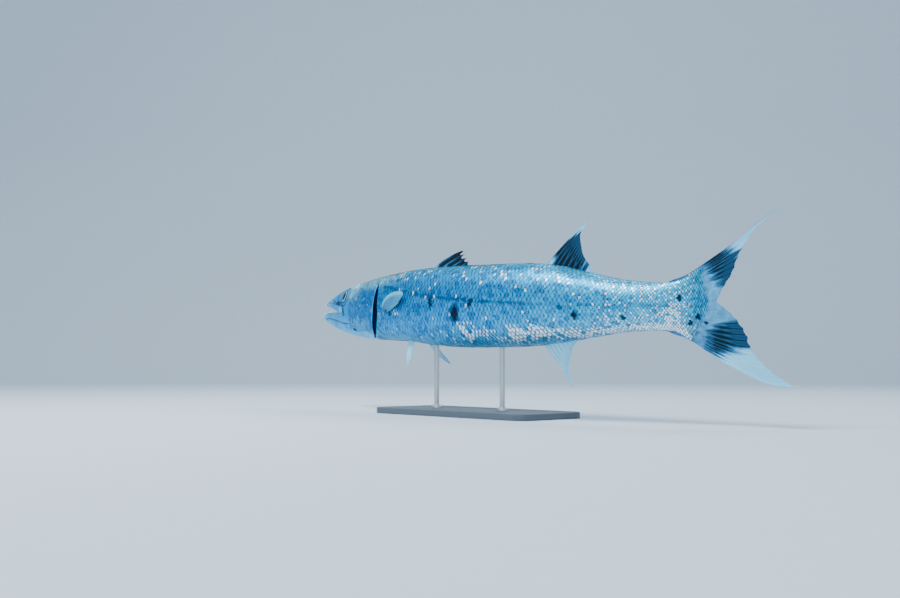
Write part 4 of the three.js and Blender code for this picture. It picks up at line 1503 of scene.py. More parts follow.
@dataclass
class Mouthparts:
    """The teeth, the tongue and the nostrils."""

    skin: Skin
    sides: int = 10
    rings: int = 9
    seed: int = 5
    fang_gap: float = 11
    fang_length: float = 8.5
    fang_radius: float = 1.7
    row_teeth: int = 19
    row: tuple = (36, 140)
    row_lengths: tuple = (3.5, 6)
    tooth_radius: float = 1.15
    inset: float = 0.62
    blade: float = 0.62
    tongue_size: tuple = (46, 6.5, 2.2)
    tongue_station: float = 92
    # station, height and radius of each nostril
    pits: tuple = ((138, 11, 1.7), (145, 10, 2.4))
    pit_length: float = 1.25
    # radii, in shares of the pit's, and heights of a nostril's section
    pit_section: tuple = (
        (0, 0.02), (0.5, 0.02), (0.8, 0.03), (0.92, 0.08), (1.04, 0.12),
        (1.16, 0.06), (1.3, -0.15), (1.4, -0.8), (1.3, -2.9), (0, -2.9),
    )

    def tooth(self, data: MeshData, place: Array, lean: Array, length: float, radius: float) -> None:
        """Add a tooth, a flattened cone that curves back to its point.

        Args:
            data: Mesh to add to.
            place: Middle of the tooth's root on the jaw's edge.
            lean: Direction in which it stands, of length 1.
            length: Its length over the lip.
            radius: Radius of its root.
        """
        turn = np.linspace(0, 2 * math.pi, self.sides + 1)
        rise = mix(-2.2, length, np.linspace(0, 1, self.rings)[:, None])
        size = radius * np.where(rise < 0, 1, (1 - np.clip(rise / length, 0, 1) ** 1.6))
        rise, size = (np.concatenate([part[:1], part]) for part in (rise, size))
        size[0] = 0
        share = np.clip(rise / length, 0, 1)
        fore = unit(np.array([1.0, 0, 0]) - lean[0] * lean)
        ahead = size * np.cos(turn) + 0.09 * length * share**2
        out = self.blade * size * np.sin(turn)
        ring = place + rise[..., None] * lean + ahead[..., None] * fore
        data.add_grid(ring + out[..., None] * np.cross(lean, fore), tip=share)

    def teeth(self) -> Object:
        """Make all the teeth.

        Returns:
            The piece.
        """
        rng = np.random.default_rng(self.seed)
        data = MeshData()
        # each jaw's lip, the way in which its teeth point, and the station of its first fang
        for line, way, first in ((self.skin.upper, -1, 17), (self.skin.lower, 1, 4)):
            teeth = [(first + self.fang_gap * i, self.fang_length - i, self.fang_radius) for i in range(2)]
            for i in range(self.row_teeth):
                x = mix(*self.row, (i + 0.5 * rng.uniform()) / self.row_teeth)
                room = 0.72 * float(self.skin.upper(x) - self.skin.lower(x))
                teeth.append((x, min(mix(*self.row_lengths, rng.uniform()), room), self.tooth_radius))
            for x, length, radius in teeth:
                for side in Side:
                    place = self.skin.shape.side_point(x, float(line(x)), side) * (1, self.inset, 1)
                    place[2] -= way * 0.6
                    lean = unit(np.array([0.14, -0.1 * side.value, way]))
                    self.tooth(data, place, lean, length * rng.uniform(0.85, 1.05), radius)
        piece = data.build("teeth", self.skin.shape, merge=0.004)
        return smooth_shaded(piece, 60)

    def tongue(self) -> Object:
        """Make the tongue, a narrow blade on the floor of the mouth.

        Returns:
            The piece.
        """
        only_nothing()
        bpy.ops.mesh.primitive_uv_sphere_add(segments=28, ring_count=16, radius=1)
        ball = bpy.context.object
        ball.name = "tongue"
        bpy.ops.object.mode_set(mode="EDIT")
        bpy.ops.mesh.select_all(action="SELECT")
        bpy.ops.transform.resize(value=self.tongue_size)
        bpy.ops.object.mode_set(mode="OBJECT")
        points = np.array([vertex.co[:] for vertex in ball.data.vertices])
        half = self.tongue_size[0]
        # wider towards its root, with a groove along its middle
        points[:, 1] *= mix(0.55, 1.25, (points[:, 0] + half) / (2 * half))
        points[:, 2] -= 0.9 * bell(points[:, 1], 0, 1.6) * (points[:, 2] > 0)
        points[:, 0] += self.tongue_station
        points[:, 2] += self.skin.lower(points[:, 0]) - 3.4
        ball.data.vertices.foreach_set("co", self.skin.shape.pose(points).astype(np.float32).ravel())
        return smooth_shaded(ball, 180)

    def nostrils(self, side: Side) -> Object:
        """Make the two nostrils of one side, each a pit painted dark with shade, in a raised rim.

        Args:
            side: Side of the fish.

        Returns:
            The piece.
        """
        data = MeshData()
        shape = self.skin.shape
        profile = np.array(self.pit_section)
        # painted shade fills the pit
        pit = fade(profile[:, :1], 0.88, 1.0)
        lip = 0.45 * smooth_step(profile[:, :1], 0.9, 1.1)
        turn = np.linspace(0, 2 * math.pi, 29)
        for x, z, radius in self.pits:
            local = turned(profile, turn, self.pit_length * radius, radius)
            points = shape.side_point(x, z, side) + local @ look_axes(shape.outward(x, z, side)).T
            data.add_grid(points, gill=pit, dark=lip, station=x * MM, height=0.3)
        piece = data.build(f"nostrils_{side.name.lower()}", shape, merge=0.005)
        return smooth_shaded(piece, 80)


@dataclass
class Stand:
    """The plain display stand: a painted base and two steel rods."""

    length: float = 0.440
    width: float = 0.170
    thickness: float = 0.012
    corner: float = 0.028
    rod_radius: float = 0.005
    collar_radius: float = 0.011
    collar_height: float = 0.005
    broken_edge: float = 0.0014

    def base(self) -> Object:
        """Make the base, a plate with round corners and softly broken edges.

        Returns:
            The plate.
        """
        only_nothing()
        bpy.ops.mesh.primitive_cube_add(size=1)
        plate = bpy.context.object
        plate.name = "stand_plate"
        bpy.ops.object.mode_set(mode="EDIT")
        bpy.ops.mesh.select_all(action="SELECT")
        bpy.ops.transform.resize(value=(self.length, self.width, self.thickness))
        bpy.ops.transform.translate(value=(0, 0, self.thickness / 2))
        self.select_edges(plate, lambda a, b: abs(a.z - b.z) > 0.5 * self.thickness)
        bpy.ops.mesh.bevel(offset=self.corner, segments=14, profile=0.5)
        self.select_edges(plate, lambda a, b: abs(a.z - b.z) < 1e-6)
        bpy.ops.mesh.bevel(offset=self.broken_edge, segments=3, profile=0.5)
        bpy.ops.object.mode_set(mode="OBJECT")
        return smooth_shaded(plate, 35)

    @staticmethod
    def select_edges(piece: Object, wanted: Callable[[Vector, Vector], bool]) -> None:
        """Open a piece in edit mode with some of its edges selected.

        Args:
            piece: The piece.
            wanted: Says of an edge's two ends whether it is wanted.
        """
        bpy.ops.object.mode_set(mode="EDIT")
        bpy.ops.mesh.select_mode(type="EDGE")
        bpy.ops.mesh.select_all(action="DESELECT")
        bpy.ops.object.mode_set(mode="OBJECT")
        mesh = piece.data
        for edge in mesh.edges:
            edge.select = wanted(mesh.vertices[edge.vertices[0]].co, mesh.vertices[edge.vertices[1]].co)
        bpy.ops.object.mode_set(mode="EDIT")

    def rod(self, node: str) -> Object:
        """Make a rod with its collar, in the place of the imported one.

        Args:
            node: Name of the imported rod.

        Returns:
            The rod.
        """
        low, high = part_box(node)
        middle = (low + high) / 2
        foot, shoulder = low.z, low.z + self.collar_height
        parts = []
        # radius, start, end and bevel of the rod, its collar and the neck over the collar
        for radius, start, end, bevel in (
            (self.rod_radius, foot + 0.002, high.z, 0.0),
            (self.collar_radius, foot, shoulder, 0.0009),
            (self.collar_radius * 0.66, shoulder - 0.001, shoulder + 0.0024, 0.0007),
        ):
            only_nothing()
            size = {"vertices": 64, "radius": radius, "depth": end - start}
            bpy.ops.mesh.primitive_cylinder_add(**size, location=(middle.x, middle.y, (start + end) / 2))
            part = bpy.context.object
            bpy.ops.object.transform_apply(location=True, rotation=True, scale=True)
            if bevel:
                self.select_edges(part, lambda a, b, z=end: min(a.z, b.z) > z - 1e-5)
                bpy.ops.mesh.bevel(offset=bevel, segments=3, profile=0.5)
                bpy.ops.object.mode_set(mode="OBJECT")
            parts.append(part)
        only(parts[0])
        for part in parts:
            part.select_set(True)
        bpy.ops.object.join()
        rod = bpy.context.object
        rod.name = node.replace("stand_rod", "stand_post")
        return smooth_shaded(rod, 35)


def linear(colour: str) -> tuple[float, float, float, float]:
    """Linear red, green, blue and alpha from an sRGB hex value."""
    parts = [int(colour[at : at + 2], 16) / 255 for at in (1, 3, 5)]
    return (*(part / 12.92 if part <= 0.04045 else ((part + 0.055) / 1.055) ** 2.4 for part in parts), 1.0)


def add(tree: NodeTree, kind: str, settings: dict | None = None, **inputs: object) -> Node:
    """Add a node.

    Args:
        tree: Node tree to add to.
        kind: The node's type, without the words that all types start with.
        settings: Properties to set. "stops" gives a colour ramp its places and colours.
        **inputs: Values or links of its inputs, by name, or by "i" and their number.

    Returns:
        The node.
    """
    node = tree.nodes.new(f"ShaderNode{kind}")
    for key, value in (settings or {}).items():
        if key == "stops":
            elements = node.color_ramp.elements
            while len(elements) < len(value):
                elements.new(0.5)
            for element, (place, colour) in zip(elements, value):
                element.position = place
                element.color = linear(colour)
        else:
            setattr(node, key, value)
    for key, value in inputs.items():
        socket = node.inputs[int(key[1:]) if key[1:].isdigit() else key.replace("_", " ")]
        if isinstance(value, NodeSocket):
            tree.links.new(value, socket)
        else:
            socket.default_value = value
    return node


MIX = {"data_type": "RGBA"}
MULTIPLY = {"data_type": "RGBA", "blend_type": "MULTIPLY"}


@dataclass(frozen=True)
class Finish:
    """A finish: the shader's own numbers, and the pattern that feeds its colour and bump."""

    name: str
    metallic: float = 0.0
    roughness: float = 0.5
    ior: float = 1.45
    coat: float = 0.0
    coat_roughness: float = 0.1
    sheen: str = "#ffffff"

    def make(self) -> Material:
        """Make the material.

        Returns:
            The material.
        """
        material = bpy.data.materials.new(self.name)
        material.use_nodes = True
        tree = material.node_tree
        shader = next(node for node in tree.nodes if node.type == "BSDF_PRINCIPLED")
        for socket, value in (
            ("Metallic", self.metallic),
            ("Roughness", self.roughness),
            ("IOR", self.ior),
            ("Coat Weight", self.coat),
            ("Coat Roughness", self.coat_roughness),
        ):
            shader.inputs[socket].default_value = value
        shader.inputs["Specular Tint"].default_value = linear(self.sheen)
        self.paint(tree, shader)
        return material

    def paint(self, tree: NodeTree, shader: Node) -> None:
        """Add the finish's pattern to its shader."""

    @staticmethod
    def value(tree: NodeTree, name: str) -> NodeSocket:
        """A number that the mesh stores at its points."""
        return add(tree, "Attribute", {"attribute_name": name}).outputs["Fac"]

    @staticmethod
    def bump(tree: NodeTree, shader: Node, height: NodeSocket, depth: float) -> None:
        """Feed a relief to the shader, with its depth in metres."""
        relief = add(tree, "Bump", Height=height, Distance=depth, Strength=1.0)
        tree.links.new(relief.outputs["Normal"], shader.inputs["Normal"])


@dataclass(frozen=True)
class FishFinish(Finish):
    """Silvery fish skin: guanine crystals under clear skin, blue steel above and white below."""

    def flank(self, tree: NodeTree) -> NodeSocket:
        """Colour of the fish from its belly to its back and towards its tail.

        Args:
            tree: The material's node tree.

        Returns:
            The colour.
        """
        upward = add(tree, "MapRange", Value=self.value(tree, "height"), From_Min=-1.0)
        # darkest on the upper flank, and lighter at the top of the back, a painted highlight of light from
        # above
        # pale only at the very belly, the rest of the underside painted shade where a real belly is white,
        body = add(
            tree,
            "ValToRGB",
            {
                "stops": (
                    (0.0, "#84dcf8"), (0.1, "#3cc0f0"), (0.3, "#18b2ee"), (0.5, "#00a6e6"),
                    (0.66, "#0094d2"), (0.84, "#00a0d8"), (1.0, "#2cc4ea"),
                )
            },
            Fac=upward.outputs[0],
        )
        rear = add(tree, "MapRange", Value=self.value(tree, "station"), From_Min=0.6, From_Max=1.0)
        pale = add(
            tree,
            "ValToRGB",
            {"stops": ((0.0, "#a0e6f8"), (0.3, "#50d2f4"), (0.6, "#28c8f2"), (1.0, "#4cd4f0"))},
            Fac=upward.outputs[0],
        )
        flank = add(tree, "Mix", MIX, Factor=rear.outputs[0], i6=body.outputs[0], i7=pale.outputs[0])
        # painted highlights and paler patches of the head, mixed in as a pale cyan
        lit = self.value(tree, "pale")
        return add(tree, "Mix", MIX, Factor=lit, i6=flank.outputs[2], i7=linear("#a8f8ff")).outputs[2]

    @staticmethod
    def mottled(tree: NodeTree, colour: NodeSocket, place: NodeSocket, share: object) -> NodeSocket:
        """The colour with the head's patches of brighter and duller skin.

        Args:
            tree: The material's node tree.
            colour: The plain colour.
            place: Where each point is.
            share: How strong the patches are, a number or a socket.

        Returns:
            The colour.
        """
        # patches about 20 mm long with finer ones in them
        patches = add(tree, "TexNoise", Vector=place, Scale=50.0, Detail=5.0, Roughness=0.65)
        light = add(
            tree, "ValToRGB", {"stops": ((0.34, "#70aed0"), (0.5, "#d0eaf6"), (0.64, "#ffffff"))},
            Fac=patches.outputs["Fac"],
        )
        return add(tree, "Mix", MULTIPLY, Factor=share, i6=colour, i7=light.outputs[0]).outputs[2]

    def inked(self, tree: NodeTree, colour: NodeSocket) -> NodeSocket:
        """The colour with the ink-dark blotches over it, and on the scales the painted shade among the
        glints.
        """
        amount = self.value(tree, "dark")
        return add(tree, "Mix", MIX, Factor=amount, i6=colour, i7=linear("#071a34")).outputs[2]


@dataclass(frozen=True)
class SkinFinish(FishFinish):
    """The bare skin of the head, and what shows between the scales."""

    def paint(self, tree: NodeTree, shader: Node) -> None:
        """Paint shade into the grooves and the gill opening, colour the mouth's lining, and mottle the rest.

        Args:
            tree: The material's node tree.
            shader: Its shader.
        """
        place = add(tree, "TexCoord").outputs["Object"]
        # pores about 1.5 mm apart
        pores = add(tree, "TexNoise", Vector=place, Scale=620.0, Detail=3.0)
        colour = self.mottled(tree, self.flank(tree), place, 0.9)
        # painted shade in the grooves and in the gill opening's hollow; the mouth's lining in its own colour
        for name, hue in (("groove", "#0b3f6c"), ("gill", "#123f7c"), ("mouth", "#4f86a6")):
            amount = self.value(tree, name)
            colour = add(tree, "Mix", MIX, Factor=amount, i6=colour, i7=linear(hue)).outputs[2]
        tree.links.new(self.inked(tree, colour), shader.inputs["Base Color"])
        # shallow folds about 4 mm apart under the pores
        folds = add(tree, "TexNoise", Vector=place, Scale=240.0, Detail=5.0, Roughness=0.7, Distortion=0.6)
        relief = add(
            tree, "Math", {"operation": "MULTIPLY_ADD"},
            i0=pores.outputs["Fac"], i1=0.35, i2=folds.outputs["Fac"],
        )
        self.bump(tree, shader, relief.outputs[0], 0.00055)


@dataclass(frozen=True)
class ScaleFinish(FishFinish):
    """Cycloid scales: thin clear bone over silver, some of them with painted glints."""

    def distance(self, tree: NodeTree, along: float, length: float, width: float) -> NodeSocket:
        """Distance from a streak across each scale, 1 at its edge.

        Args:
            tree: The material's node tree.
            along: Share of the way to the scale's rear edge where the streak lies.
            length: Half of its extent along the scale.
            width: Half of its extent across it.

        Returns:
            The distance.
        """
        u = add(tree, "Math", {"operation": "SUBTRACT"}, i0=self.value(tree, "edge"), i1=along)
        u = add(tree, "Math", {"operation": "DIVIDE"}, i0=u.outputs[0], i1=length)
        v = add(tree, "Math", {"operation": "DIVIDE"}, i0=self.value(tree, "across"), i1=width)
        both = add(tree, "CombineXYZ", X=u.outputs[0], Y=v.outputs[0])
        return add(tree, "VectorMath", {"operation": "LENGTH"}, i0=both.outputs[0]).outputs["Value"]

    def paint(self, tree: NodeTree, shader: Node) -> None:
        """Vary the scales, paint shade at their roots and rear edges, and paint glints on some of them.

        Args:
            tree: The material's node tree.
            shader: Its shader.
        """
        place = add(tree, "TexCoord").outputs["Object"]
        tone = add(
            tree, "ValToRGB", {"stops": ((0.0, "#5f97bb"), (0.5, "#c4dfee"), (1.0, "#ffffff"))},
            Fac=self.value(tree, "tone"),
        )
        colour = add(tree, "Mix", MULTIPLY, Factor=0.85, i6=self.flank(tree), i7=tone.outputs[0]).outputs[2]
        # each scale is pale in its middle, with painted shade at its root, under the scale before, and at its
        # rear edge
        stops = ((0.4, "#4f86ab"), (0.66, "#ffffff"), (0.84, "#ffffff"), (1.0, "#3a7099"))
        rim = add(tree, "ValToRGB", {"stops": stops}, Fac=self.value(tree, "edge"))
        crisp = add(tree, "MapRange", Value=self.value(tree, "small"), To_Min=0.9, To_Max=0.3).outputs[0]
        colour = add(tree, "Mix", MULTIPLY, Factor=crisp, i6=colour, i7=rim.outputs[0]).outputs[2]
        colour = self.mottled(tree, colour, place, self.value(tree, "small"))
        # a painted glint: on some scales an upright near-white streak near the rear edge, in flecks about 4
        # mm across
        flecks = add(tree, "TexNoise", Vector=place, Scale=260.0, Detail=2.0)
        ragged = add(
            tree, "Math", {"operation": "MULTIPLY_ADD"},
            i0=flecks.outputs["Fac"], i1=3.2, i2=self.distance(tree, 0.74, 0.17, 0.7),
        )
        reach = add(
            tree, "Math", {"operation": "MULTIPLY_ADD"},
            i0=self.value(tree, "glint"), i1=-0.8, i2=ragged.outputs[0],
        )
        streak = add(
            tree, "MapRange", {"interpolation_type": "SMOOTHSTEP"},
            Value=reach.outputs[0], From_Min=2.11, From_Max=1.46,
        )
        for name, hue, share in (("line", "#06345c", 0.9), ("glint", "#f6ffff", streak.outputs[0])):
            amount = add(
                tree, "Math", {"operation": "MULTIPLY"}, i0=self.value(tree, name), i1=share
            ).outputs[0]
            colour = add(tree, "Mix", MIX, Factor=amount, i6=colour, i7=linear(hue)).outputs[2]
        tree.links.new(self.inked(tree, colour), shader.inputs["Base Color"])
        # growth rings about 1 mm apart, drawn coarser than the real 0.1 mm so that they show
        rings = add(tree, "TexNoise", Vector=place, Scale=900.0, Detail=2.0)
        self.bump(tree, shader, rings.outputs["Fac"], 0.00012)


@dataclass(frozen=True)
class FinFinish(Finish):
    """Fin membrane over bony rays: thin skin, inky or milk white."""

    webs: tuple = ("#9cdff4", "#5ea8dc", "#1a4e78", "#020d18")
    rays: tuple = ("#5cb6de", "#1d5076")

    def paint(self, tree: NodeTree, shader: Node) -> None:
        """Mix the pale and the dark skin, with the rays a little off each.

        Args:
            tree: The material's node tree.
            shader: Its shader.
        """
        place = add(tree, "TexCoord").outputs["Object"]
        # mottling about 8 mm across that breaks the dark bands' edges
        cloud = add(tree, "TexNoise", Vector=place, Scale=120.0, Detail=4.0)
        shifted = add(
            tree, "Math", {"operation": "MULTIPLY_ADD"},
            i0=cloud.outputs["Fac"], i1=0.35, i2=self.value(tree, "dark"),
        )
        amount = add(tree, "MapRange", Value=shifted.outputs[0], From_Min=0.24, From_Max=1.05)
        stops = tuple(zip((0.0, 0.3, 0.62, 1.0), self.webs))
        web = add(tree, "ValToRGB", {"stops": stops}, Fac=amount.outputs[0]).outputs[0]
        pale, dark = (linear(colour) for colour in self.rays)
        ray = add(tree, "Mix", MIX, Factor=amount.outputs[0], i6=pale, i7=dark).outputs[2]
        colour = add(tree, "Mix", MIX, Factor=self.value(tree, "ray"), i6=web, i7=ray)
        tree.links.new(colour.outputs[2], shader.inputs["Base Color"])
        # joints of the rays and creases of the skin, about 2 mm apart
        creases = add(tree, "TexNoise", Vector=place, Scale=480.0, Detail=3.0)
        self.bump(tree, shader, creases.outputs["Fac"], 0.0002)


@dataclass(frozen=True)
class EyeFinish(Finish):
    """A fish's eye: a black pupil in a silver iris under a clear wet cornea."""

    def paint(self, tree: NodeTree, shader: Node) -> None:
        """Draw the pupil, the bright ring round it and the iris.

        Args:
            tree: The material's node tree.
            shader: Its shader.
        """
        place = add(tree, "TexCoord").outputs["Object"]
        # streaks of the iris about 1.5 mm across
        streaks = add(tree, "TexNoise", Vector=place, Scale=650.0, Detail=3.0)
        radial = add(
            tree, "Math", {"operation": "MULTIPLY_ADD"},
            i0=streaks.outputs["Fac"], i1=0.05, i2=self.value(tree, "radial"),
        )
        iris = add(
            tree,
            "ValToRGB",
            {
                "stops": (
                    (0.0, "#010203"), (0.74, "#02050a"), (0.765, "#e0f4fa"), (0.82, "#a4d6e8"),
                    (0.9, "#4c9cc0"), (0.955, "#123a58"), (1.0, "#06121f"),
                )
            },
            Fac=radial.outputs[0],
        )
        # cloudy patches of the iris about 2 mm across
        patches = add(tree, "TexNoise", Vector=place, Scale=420.0, Detail=3.0)
        cloud = add(
            tree, "ValToRGB", {"stops": ((0.38, "#4a88a4"), (0.5, "#b0d4e2"), (0.6, "#ffffff"))},
            Fac=patches.outputs["Fac"],
        )
        colour = add(tree, "Mix", MULTIPLY, Factor=0.8, i6=iris.outputs[0], i7=cloud.outputs[0])
        tree.links.new(colour.outputs[2], shader.inputs["Base Color"])


@dataclass(frozen=True)
class FleckedFinish(Finish):
    """A plain material with a fine fleck of a second colour and a fine grain."""

    colour: str = "#ffffff"
    fleck: str = "#eeeeee"
    scale: float = 300.0
    stretch: tuple = (1.0, 1.0, 1.0)
    depth: float = 0.0001

    def paint(self, tree: NodeTree, shader: Node) -> None:
        """Mix the two colours by a noise and raise its grain.

        Args:
            tree: The material's node tree.
            shader: Its shader.
        """
        place = add(tree, "TexCoord").outputs["Object"]
        drawn = add(tree, "Mapping", Vector=place, Scale=self.stretch)
        noise = add(tree, "TexNoise", Vector=drawn.outputs[0], Scale=self.scale, Detail=4.0).outputs["Fac"]
        colour = add(tree, "Mix", MIX, Factor=noise, i6=linear(self.colour), i7=linear(self.fleck))
        tree.links.new(colour.outputs[2], shader.inputs["Base Color"])
        self.bump(tree, shader, noise, self.depth)


def dress(piece: Object, material: Material) -> None:
    """Give a piece one material in place of all its others."""
    piece.data.materials.clear()
    piece.data.materials.append(material)


@dataclass
class Studio:
    """A pale floor that curves up into a wall behind the fish, soft lights and the camera."""

    reach: float = 3.2
    half_width: float = 14.0
    front: float = 14.0
    bend_radius: float = 1.6
    wall: float = 6.0
    turn: float = 49.1 * DEGREE

    def floor(self) -> Object:
        """Make the floor and the wall behind the fish, square to the camera.

        Returns:
            The floor.
        """
        only_nothing()
        bpy.ops.mesh.primitive_plane_add(size=2)
        floor = bpy.context.object
        floor.name = "studio_floor"
        bpy.ops.object.mode_set(mode="EDIT")
        bpy.ops.mesh.select_all(action="SELECT")
        middle, half = (self.reach - self.front) / 2, (self.reach + self.front) / 2
        bpy.ops.transform.resize(value=(self.half_width, half, 1))
        bpy.ops.transform.translate(value=(0, middle, 0))
        Stand.select_edges(floor, lambda a, b: min(a.y, b.y) > 0)
        steps = 18
        before = (0.0, 0.0)
        for step in range(1, steps + 2):
            angle = min(step, steps) / steps * 90 * DEGREE
            out = self.bend_radius * math.sin(angle)
            up = self.bend_radius * (1 - math.cos(angle)) + (self.wall if step > steps else 0)
            move = (0, out - before[0], up - before[1])
            bpy.ops.mesh.extrude_region_move(TRANSFORM_OT_translate={"value": move})
            before = (out, up)
        bpy.ops.object.mode_set(mode="OBJECT")
        floor.rotation_euler.z = self.turn
        bpy.ops.object.transform_apply(location=True, rotation=True, scale=True)
        return smooth_shaded(floor, 60)

    @staticmethod
    def light(name: str, place: tuple, aim: tuple, size: tuple, power: float, colour: str) -> None:
        """Add a soft rectangular light.

        Args:
            name: Name of the light.
            place: Where it is, in metres.
            aim: What it points at.
            size: Its width and height.
            power: Its power in watts.
            colour: Its colour.
        """
        data = bpy.data.lights.new(name, "AREA")
        data.shape = "RECTANGLE"
        data.size, data.size_y = size
        data.energy = power
        data.color = linear(colour)[:3]
        lamp = bpy.data.objects.new(name, data)
        bpy.context.scene.collection.objects.link(lamp)
        lamp.location = place
        lamp.rotation_euler = (Vector(aim) - Vector(place)).to_track_quat("-Z", "Y").to_euler()

    def lights(self) -> None:
        """Add the lights and the even light of the room."""
        self.light("key_light", (-0.6, -1.3, 2.4), (0, 0, 0.22), (1.4, 0.9), 85, "#ffffff")
        self.light("fill_light", (1.9, -1.9, 1.3), (0.1, 0, 0.2), (2.2, 1.6), 22, "#e8f2ff")
        self.light("back_light", (-0.4, 1.6, 2.2), (0, 0, 0.25), (2.4, 0.9), 28, "#f2f8ff")
        world = bpy.data.worlds.new("studio_air")
        bpy.context.scene.world = world
        world.use_nodes = True
        background = next(node for node in world.node_tree.nodes if node.type == "BACKGROUND")
        background.inputs["Color"].default_value = linear("#dcebf8")
        background.inputs["Strength"].default_value = 1.0

    @staticmethod
    def camera() -> None:
        """Add the camera, at the height and angle from which the fish was seen."""
        data = bpy.data.cameras.new("camera")
        data.sensor_width = 36
        data.lens = 44
        camera = bpy.data.objects.new("camera", data)
        bpy.context.scene.collection.objects.link(camera)
        camera.location = (1.6087, -1.4533, 0.1053)
        camera.rotation_euler = Vector((-0.7547, 0.6535, 0.0569)).to_track_quat("-Z", "Y").to_euler()
        bpy.context.scene.camera = camera


TAIL = {"rays": 10, "ray": (4.0, 0.9), "notch": 0.05, "nicks": 1.3, "pattern": Pattern.TAIL, "rows": 44}
# each fin's root, front ray and margin as stations and heights, or lengths in its own plane
FINS = (
    Fin(
        "spiny_dorsal", "first_dorsal_fin",
        ((447, 70), (500, 73), (552, 74)),
        ((447, 70), (475, 88), (497, 97), (524, 106), (546, 111)),
        ((546, 111), (556, 97), (562, 89), (566, 79)),
        rays=5, ray=(3.2, 1.0), notch=0.36, nicks=1.0, pattern=Pattern.DUSKY, branches=0.0, columns=14,
    ),
    Fin(
        "soft_dorsal", "second_dorsal_fin",
        ((760, 68), (820, 61), (876, 48)),
        ((760, 68), (782, 89), (804, 108), (820, 121), (842, 139), (866, 154)),
        ((866, 154), (847, 130), (848, 106), (856, 84), (882, 55)),
        rays=10, ray=(3.0, 0.8), notch=0.05, pattern=Pattern.SAIL,
    ),
    Fin(
        "anal_sail", "anal_fin",
        ((756, -64), (806, -56), (852, -47)),
        ((756, -64), (778, -88), (792, -100), (805, -118), (814, -131), (829, -148)),
        ((829, -148), (818, -112), (826, -77), (840, -60), (856, -48)),
        rays=10, ray=(2.8, 0.8), notch=0.03, pattern=Pattern.PALE,
    ),
    Fin(
        "tail_upper_lobe", "tail_fin_upper",
        ((1000, 30), (1040, 34), (1052, 20), (1054, 0.2)),
        ((1000, 30), (1030, 42.4), (1059, 52), (1100, 76), (1147, 106), (1191, 139), (1228, 163)),
        ((1228, 163), (1187, 131), (1155, 90), (1138, 53), (1122, 29), (1111, 6.6)),
        **TAIL,
    ),
    Fin(
        "tail_lower_lobe", "tail_fin_lower",
        ((1000, -31), (1040, -36), (1052, -20), (1054, 0.2)),
        ((1000, -31), (1030, -45.6), (1066, -58), (1116, -88), (1171, -114), (1200, -124), (1240, -127)),
        ((1240, -127), (1199, -99), (1172, -72), (1160, -42), (1137, -13), (1111, 6.6)),
        **TAIL,
    ),
)
PECTORAL = Fin(
    "pectoral", "pectoral_fin",
    ((-8, 9), (-8, -7)),
    ((-8, 9), (22, 19), (50, 19), (78, 12), (94, 3)),
    ((94, 3), (88, -4), (66, -11), (36, -11), (14, -8)),
    rays=11, ray=(2.3, 0.7), notch=0.03, pattern=Pattern.PECTORAL,
    root=(361, 58, -12), along=(82, 24, 34), across=(-34, 4, 82), columns=8,
)
PELVIC = Fin(
    "pelvic", "pelvic_fin",
    ((-10, 9), (-10, -7)),
    ((-10, 9), (25, 10), (50, 6), (70, -3)),
    ((70, -3), (58, -7), (34, -8), (12, -7)),
    rays=6, ray=(2.2, 0.7), notch=0.04, pattern=Pattern.PALE,
    root=(411, 21, -66), along=(30, 26, -53), across=(-100, 0, -12), columns=12, rows=24,
)
PELVIC_ALONG = {Side.LEFT: (24, 28, -61), Side.RIGHT: (30, 26, -53)}

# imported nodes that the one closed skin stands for
FLESH = (
    "head", "lower_jaw", "gill_cover_left", "gill_cover_right",
    "trunk_front", "trunk_middle", "trunk_rear", "tail_stalk",
)

# silver under a film of water: broad soft highlights with a blue cast
WET_SKIN = SkinFinish(
    "wet_fish_skin", metallic=0.5, roughness=0.38, ior=1.34, coat=0.08, coat_roughness=0.15, sheen="#6cc8f0"
)
# each scale is a small dull mirror, so the flank glitters scale by scale, with painted glints on some scales
SILVER_SCALE = ScaleFinish(
    "silver_cycloid_scale", metallic=0.6, roughness=0.4, ior=1.34, coat=0.04, sheen="#70d0f4"
)
# thin wet skin over bone: no metal, with a faint sheen along the rays
MEMBRANE = FinFinish("fin_membrane", roughness=0.45, ior=1.34, coat=0.05, sheen="#8cd4f0")
# the clearer skin of the pectoral fins, painted in the blue of the body as if the body showed through it
CLEAR_MEMBRANE = FinFinish(
    "clear_fin_membrane", roughness=0.42, ior=1.34, coat=0.05, sheen="#8cd4f0",
    webs=("#50b4d8", "#1a80b0", "#126896", "#04182e"), rays=("#54b8da", "#185c86"),
)
# smooth and wet: one small sharp highlight over the black pupil
CORNEA = EyeFinish("wet_cornea", roughness=0.14, ior=1.2, coat=0.12, coat_roughness=0.04)
# hard and glassy, ivory white, clouded in patches about 3 mm across
ENAMEL = FleckedFinish("tooth_enamel", roughness=0.25, ior=1.62, colour="#f1f3ec", fleck="#dfe3da")
# wet and soft, with bumps about 3 mm apart
TONGUE = FleckedFinish("tongue_skin", roughness=0.4, coat=0.4, colour="#a9b9c0", fleck="#8aa0ac")
# sprayed enamel: an even half gloss, with an orange peel about 1 mm across
SATIN_PAINT = FleckedFinish(
    "satin_enamel_paint", roughness=0.45, colour="#46525c", fleck="#505d68", scale=900.0
)
# brushed round the rod: a bright metal with lines about 0.1 mm apart and 1 mm long
STEEL = FleckedFinish(
    "brushed_stainless_steel", metallic=1.0, roughness=0.28, colour="#c9ced2", fleck="#aab1b7", scale=160.0,
    stretch=(6.0, 6.0, 60.0), depth=0.00004,
)
# coated paper: no highlight at all, with clouds about 25 mm across
PAPER = FleckedFinish("matt_studio_paper", roughness=0.85, colour="#cfdde9", fleck="#c9d8e5", scale=40.0)


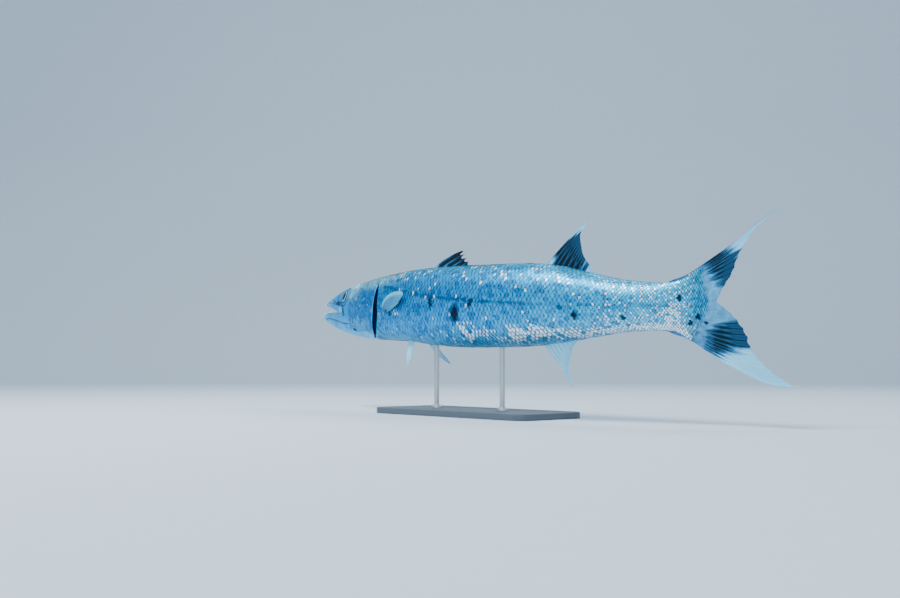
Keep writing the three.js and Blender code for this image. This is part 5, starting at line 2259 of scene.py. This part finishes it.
def place(piece: Object, finish: Material, slot: str, *nodes: str) -> None:
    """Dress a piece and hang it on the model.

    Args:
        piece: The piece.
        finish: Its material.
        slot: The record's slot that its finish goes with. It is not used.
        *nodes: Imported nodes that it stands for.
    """
    dress(piece, finish)
    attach(piece, "root")
    if nodes:
        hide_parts(*nodes)
    log.info("%s: %d faces", piece.name, len(piece.data.polygons))


def paired_fins() -> list[Fin]:
    """The fins that both sides have.

    Returns:
        The pectoral and pelvic fins.
    """
    found = []
    for side in Side:
        name = side.name.lower()
        pelvic = replace(PELVIC, along=PELVIC_ALONG[side])
        found.append(replace(PECTORAL, name=f"pectoral_{name}", node=f"pectoral_fin_{name}", side=side))
        found.append(replace(pelvic, name=f"pelvic_{name}", node=f"pelvic_fin_{name}", side=side))
    return found


def main() -> None:
    """Build the fish, its stand and the studio."""
    logging.basicConfig(level=logging.INFO, format="%(message)s")
    shape = BodyShape()
    skin = Skin(shape, GillOpening(), Markings())
    skin_finish = WET_SKIN.make()
    scale_finish = SILVER_SCALE.make()
    fin_finish = MEMBRANE.make()
    clear_finish = CLEAR_MEMBRANE.make()
    eye_finish = CORNEA.make()
    tooth_finish = ENAMEL.make()
    tongue_finish = TONGUE.make()
    plate_finish = SATIN_PAINT.make()
    steel_finish = STEEL.make()
    floor_finish = PAPER.make()

    place(skin.build(), skin_finish, "skin", *FLESH)
    for side in Side:
        place(Scales(skin, side).build(), scale_finish, "skin")
        eyeball, ring = Eye(skin, side).build()
        place(eyeball, eye_finish, "eye", f"eye_{side.name.lower()}")
        place(ring, skin_finish, "skin")
    for fin in (*FINS, *paired_fins()):
        finish = clear_finish if fin.pattern is Pattern.PECTORAL else fin_finish
        place(fin.build(shape), finish, "fin", fin.node)
    mouth = Mouthparts(skin)
    place(mouth.teeth(), tooth_finish, "skin")
    place(mouth.tongue(), tongue_finish, "skin")
    for side in Side:
        place(mouth.nostrils(side), skin_finish, "skin")
    stand = Stand()
    place(stand.base(), plate_finish, "stand_plate", "stand_base")
    for node in ("stand_rod_front", "stand_rod_rear"):
        place(stand.rod(node), steel_finish, "stand_rod", node)
    studio = Studio()
    dress(studio.floor(), floor_finish)
    studio.lights()
    studio.camera()


if __name__ == "__main__":
    main()
